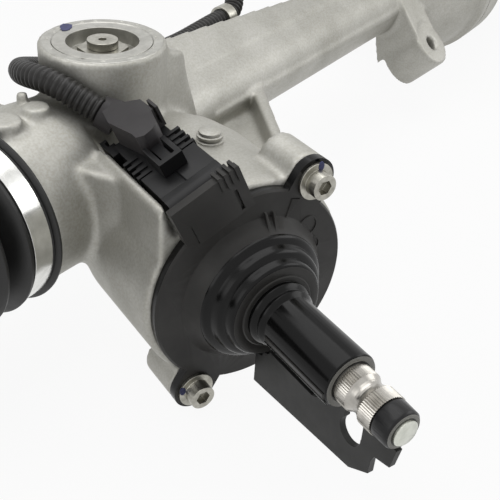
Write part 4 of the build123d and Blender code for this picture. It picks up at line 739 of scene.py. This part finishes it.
# ---- camera at the picture's own place and lens
camera = bpy.data.objects.new("camera", bpy.data.cameras.new("camera"))
bpy.context.scene.collection.objects.link(camera)
cameraLook = {"place": (-0.2882, -0.2614, 0.2044), "right": (0.547, -0.835, 0.056), "up": (0.446, 0.347, 0.825),
              "focalPixels": 853.26, "imagePixels": 500}
camera.data.sensor_width = 36.0
camera.data.lens = cameraLook["focalPixels"] / cameraLook["imagePixels"] * 36.0
right = Vector(cameraLook["right"]).normalized()
back = right.cross(Vector(cameraLook["up"])).normalized()
up = back.cross(right)
camera.matrix_world = Matrix.Translation(cameraLook["place"]) @ Matrix((right, up, back)).transposed().to_4x4()
camera.data.clip_start = 0.01
camera.data.clip_end = 20
bpy.context.scene.camera = camera

# ---- floor, backdrop light and lamps
bpy.context.scene.view_settings.view_transform = "Standard"

worldLook = {"ambient": "#dcdcdc", "strength": 0.3}
paperLook = {"colour": "#e6e6e6", "glowShare": 0.93}
world = bpy.data.worlds.new("studio")
bpy.context.scene.world = world
world.use_nodes = True
sky = world.node_tree
sky.nodes.clear()


def seenRays(tree):                             # 1 for rays that the camera, a shine or a clear body sends out
    rays = addNode(tree, "LightPath").outputs
    seen = rays["Is Camera Ray"]
    for name in ("Is Glossy Ray", "Is Transmission Ray"):
        seen = addNode(tree, "Math", None, {0: seen, 1: rays[name]}, operation="MAXIMUM").outputs[0]
    return seen


soft = addNode(sky, "Background", {"Color": linear(worldLook["ambient"]), "Strength": worldLook["strength"]})
white = addNode(sky, "Background", {"Color": (1, 1, 1, 1), "Strength": 1.0})
choose = addNode(sky, "MixShader", None, {0: seenRays(sky), 1: soft.outputs[0], 2: white.outputs[0]})
addNode(sky, "OutputWorld", None, {"Surface": choose.outputs[0]})

floorSize = 20.0
floorHeight = cadBox[0][2] - 0.0005
floorMesh = bpy.data.meshes.new("floor")
floorCorners = [(x * floorSize, y * floorSize, floorHeight) for x, y in ((-1, -1), (1, -1), (1, 1), (-1, 1))]
floorMesh.from_pydata(floorCorners, [], [(0, 1, 2, 3)])
floor = bpy.data.objects.new("floor", floorMesh)
bpy.context.scene.collection.objects.link(floor)
floorMaterial = bpy.data.materials.new("whitePaper")
floorMaterial.use_nodes = True
paper = floorMaterial.node_tree
paper.nodes.clear()
matt = addNode(paper, "BsdfDiffuse", {"Color": linear(paperLook["colour"])})
glow = addNode(paper, "Emission", {"Color": (1, 1, 1, 1), "Strength": 1.0})
lifted = addNode(paper, "MixShader", {0: paperLook["glowShare"]}, {1: matt.outputs[0], 2: glow.outputs[0]})
paperMix = addNode(paper, "MixShader", None,
                   {0: seenRays(paper), 1: matt.outputs[0], 2: lifted.outputs[0]})
addNode(paper, "OutputMaterial", None, {"Surface": paperMix.outputs[0]})
floorMesh.materials.append(floorMaterial)


def softLamp(name, place, target, sizeM, watts):
    lamp = bpy.data.objects.new(name, bpy.data.lights.new(name, "AREA"))
    lamp.data.shape = "RECTANGLE"
    lamp.data.size, lamp.data.size_y = sizeM
    lamp.data.energy = watts
    lamp.location = place
    lamp.rotation_mode = "QUATERNION"
    lamp.rotation_quaternion = (Vector(target) - Vector(place)).to_track_quat("-Z", "Y")
    bpy.context.scene.collection.objects.link(lamp)


softLamp("overhead", (0.1, 0.2, 1.3), (0.1, 0, 0), (1.6, 1.2), 11)
softLamp("rightFill", (0.9, -0.9, 0.7), (0.05, 0, 0), (0.9, 0.7), 4)
softLamp("leftEdge", (-1.1, 0.1, 0.5), (-0.05, 0, 0), (0.7, 0.6), 1.5)
print("stage, camera and lamps set")
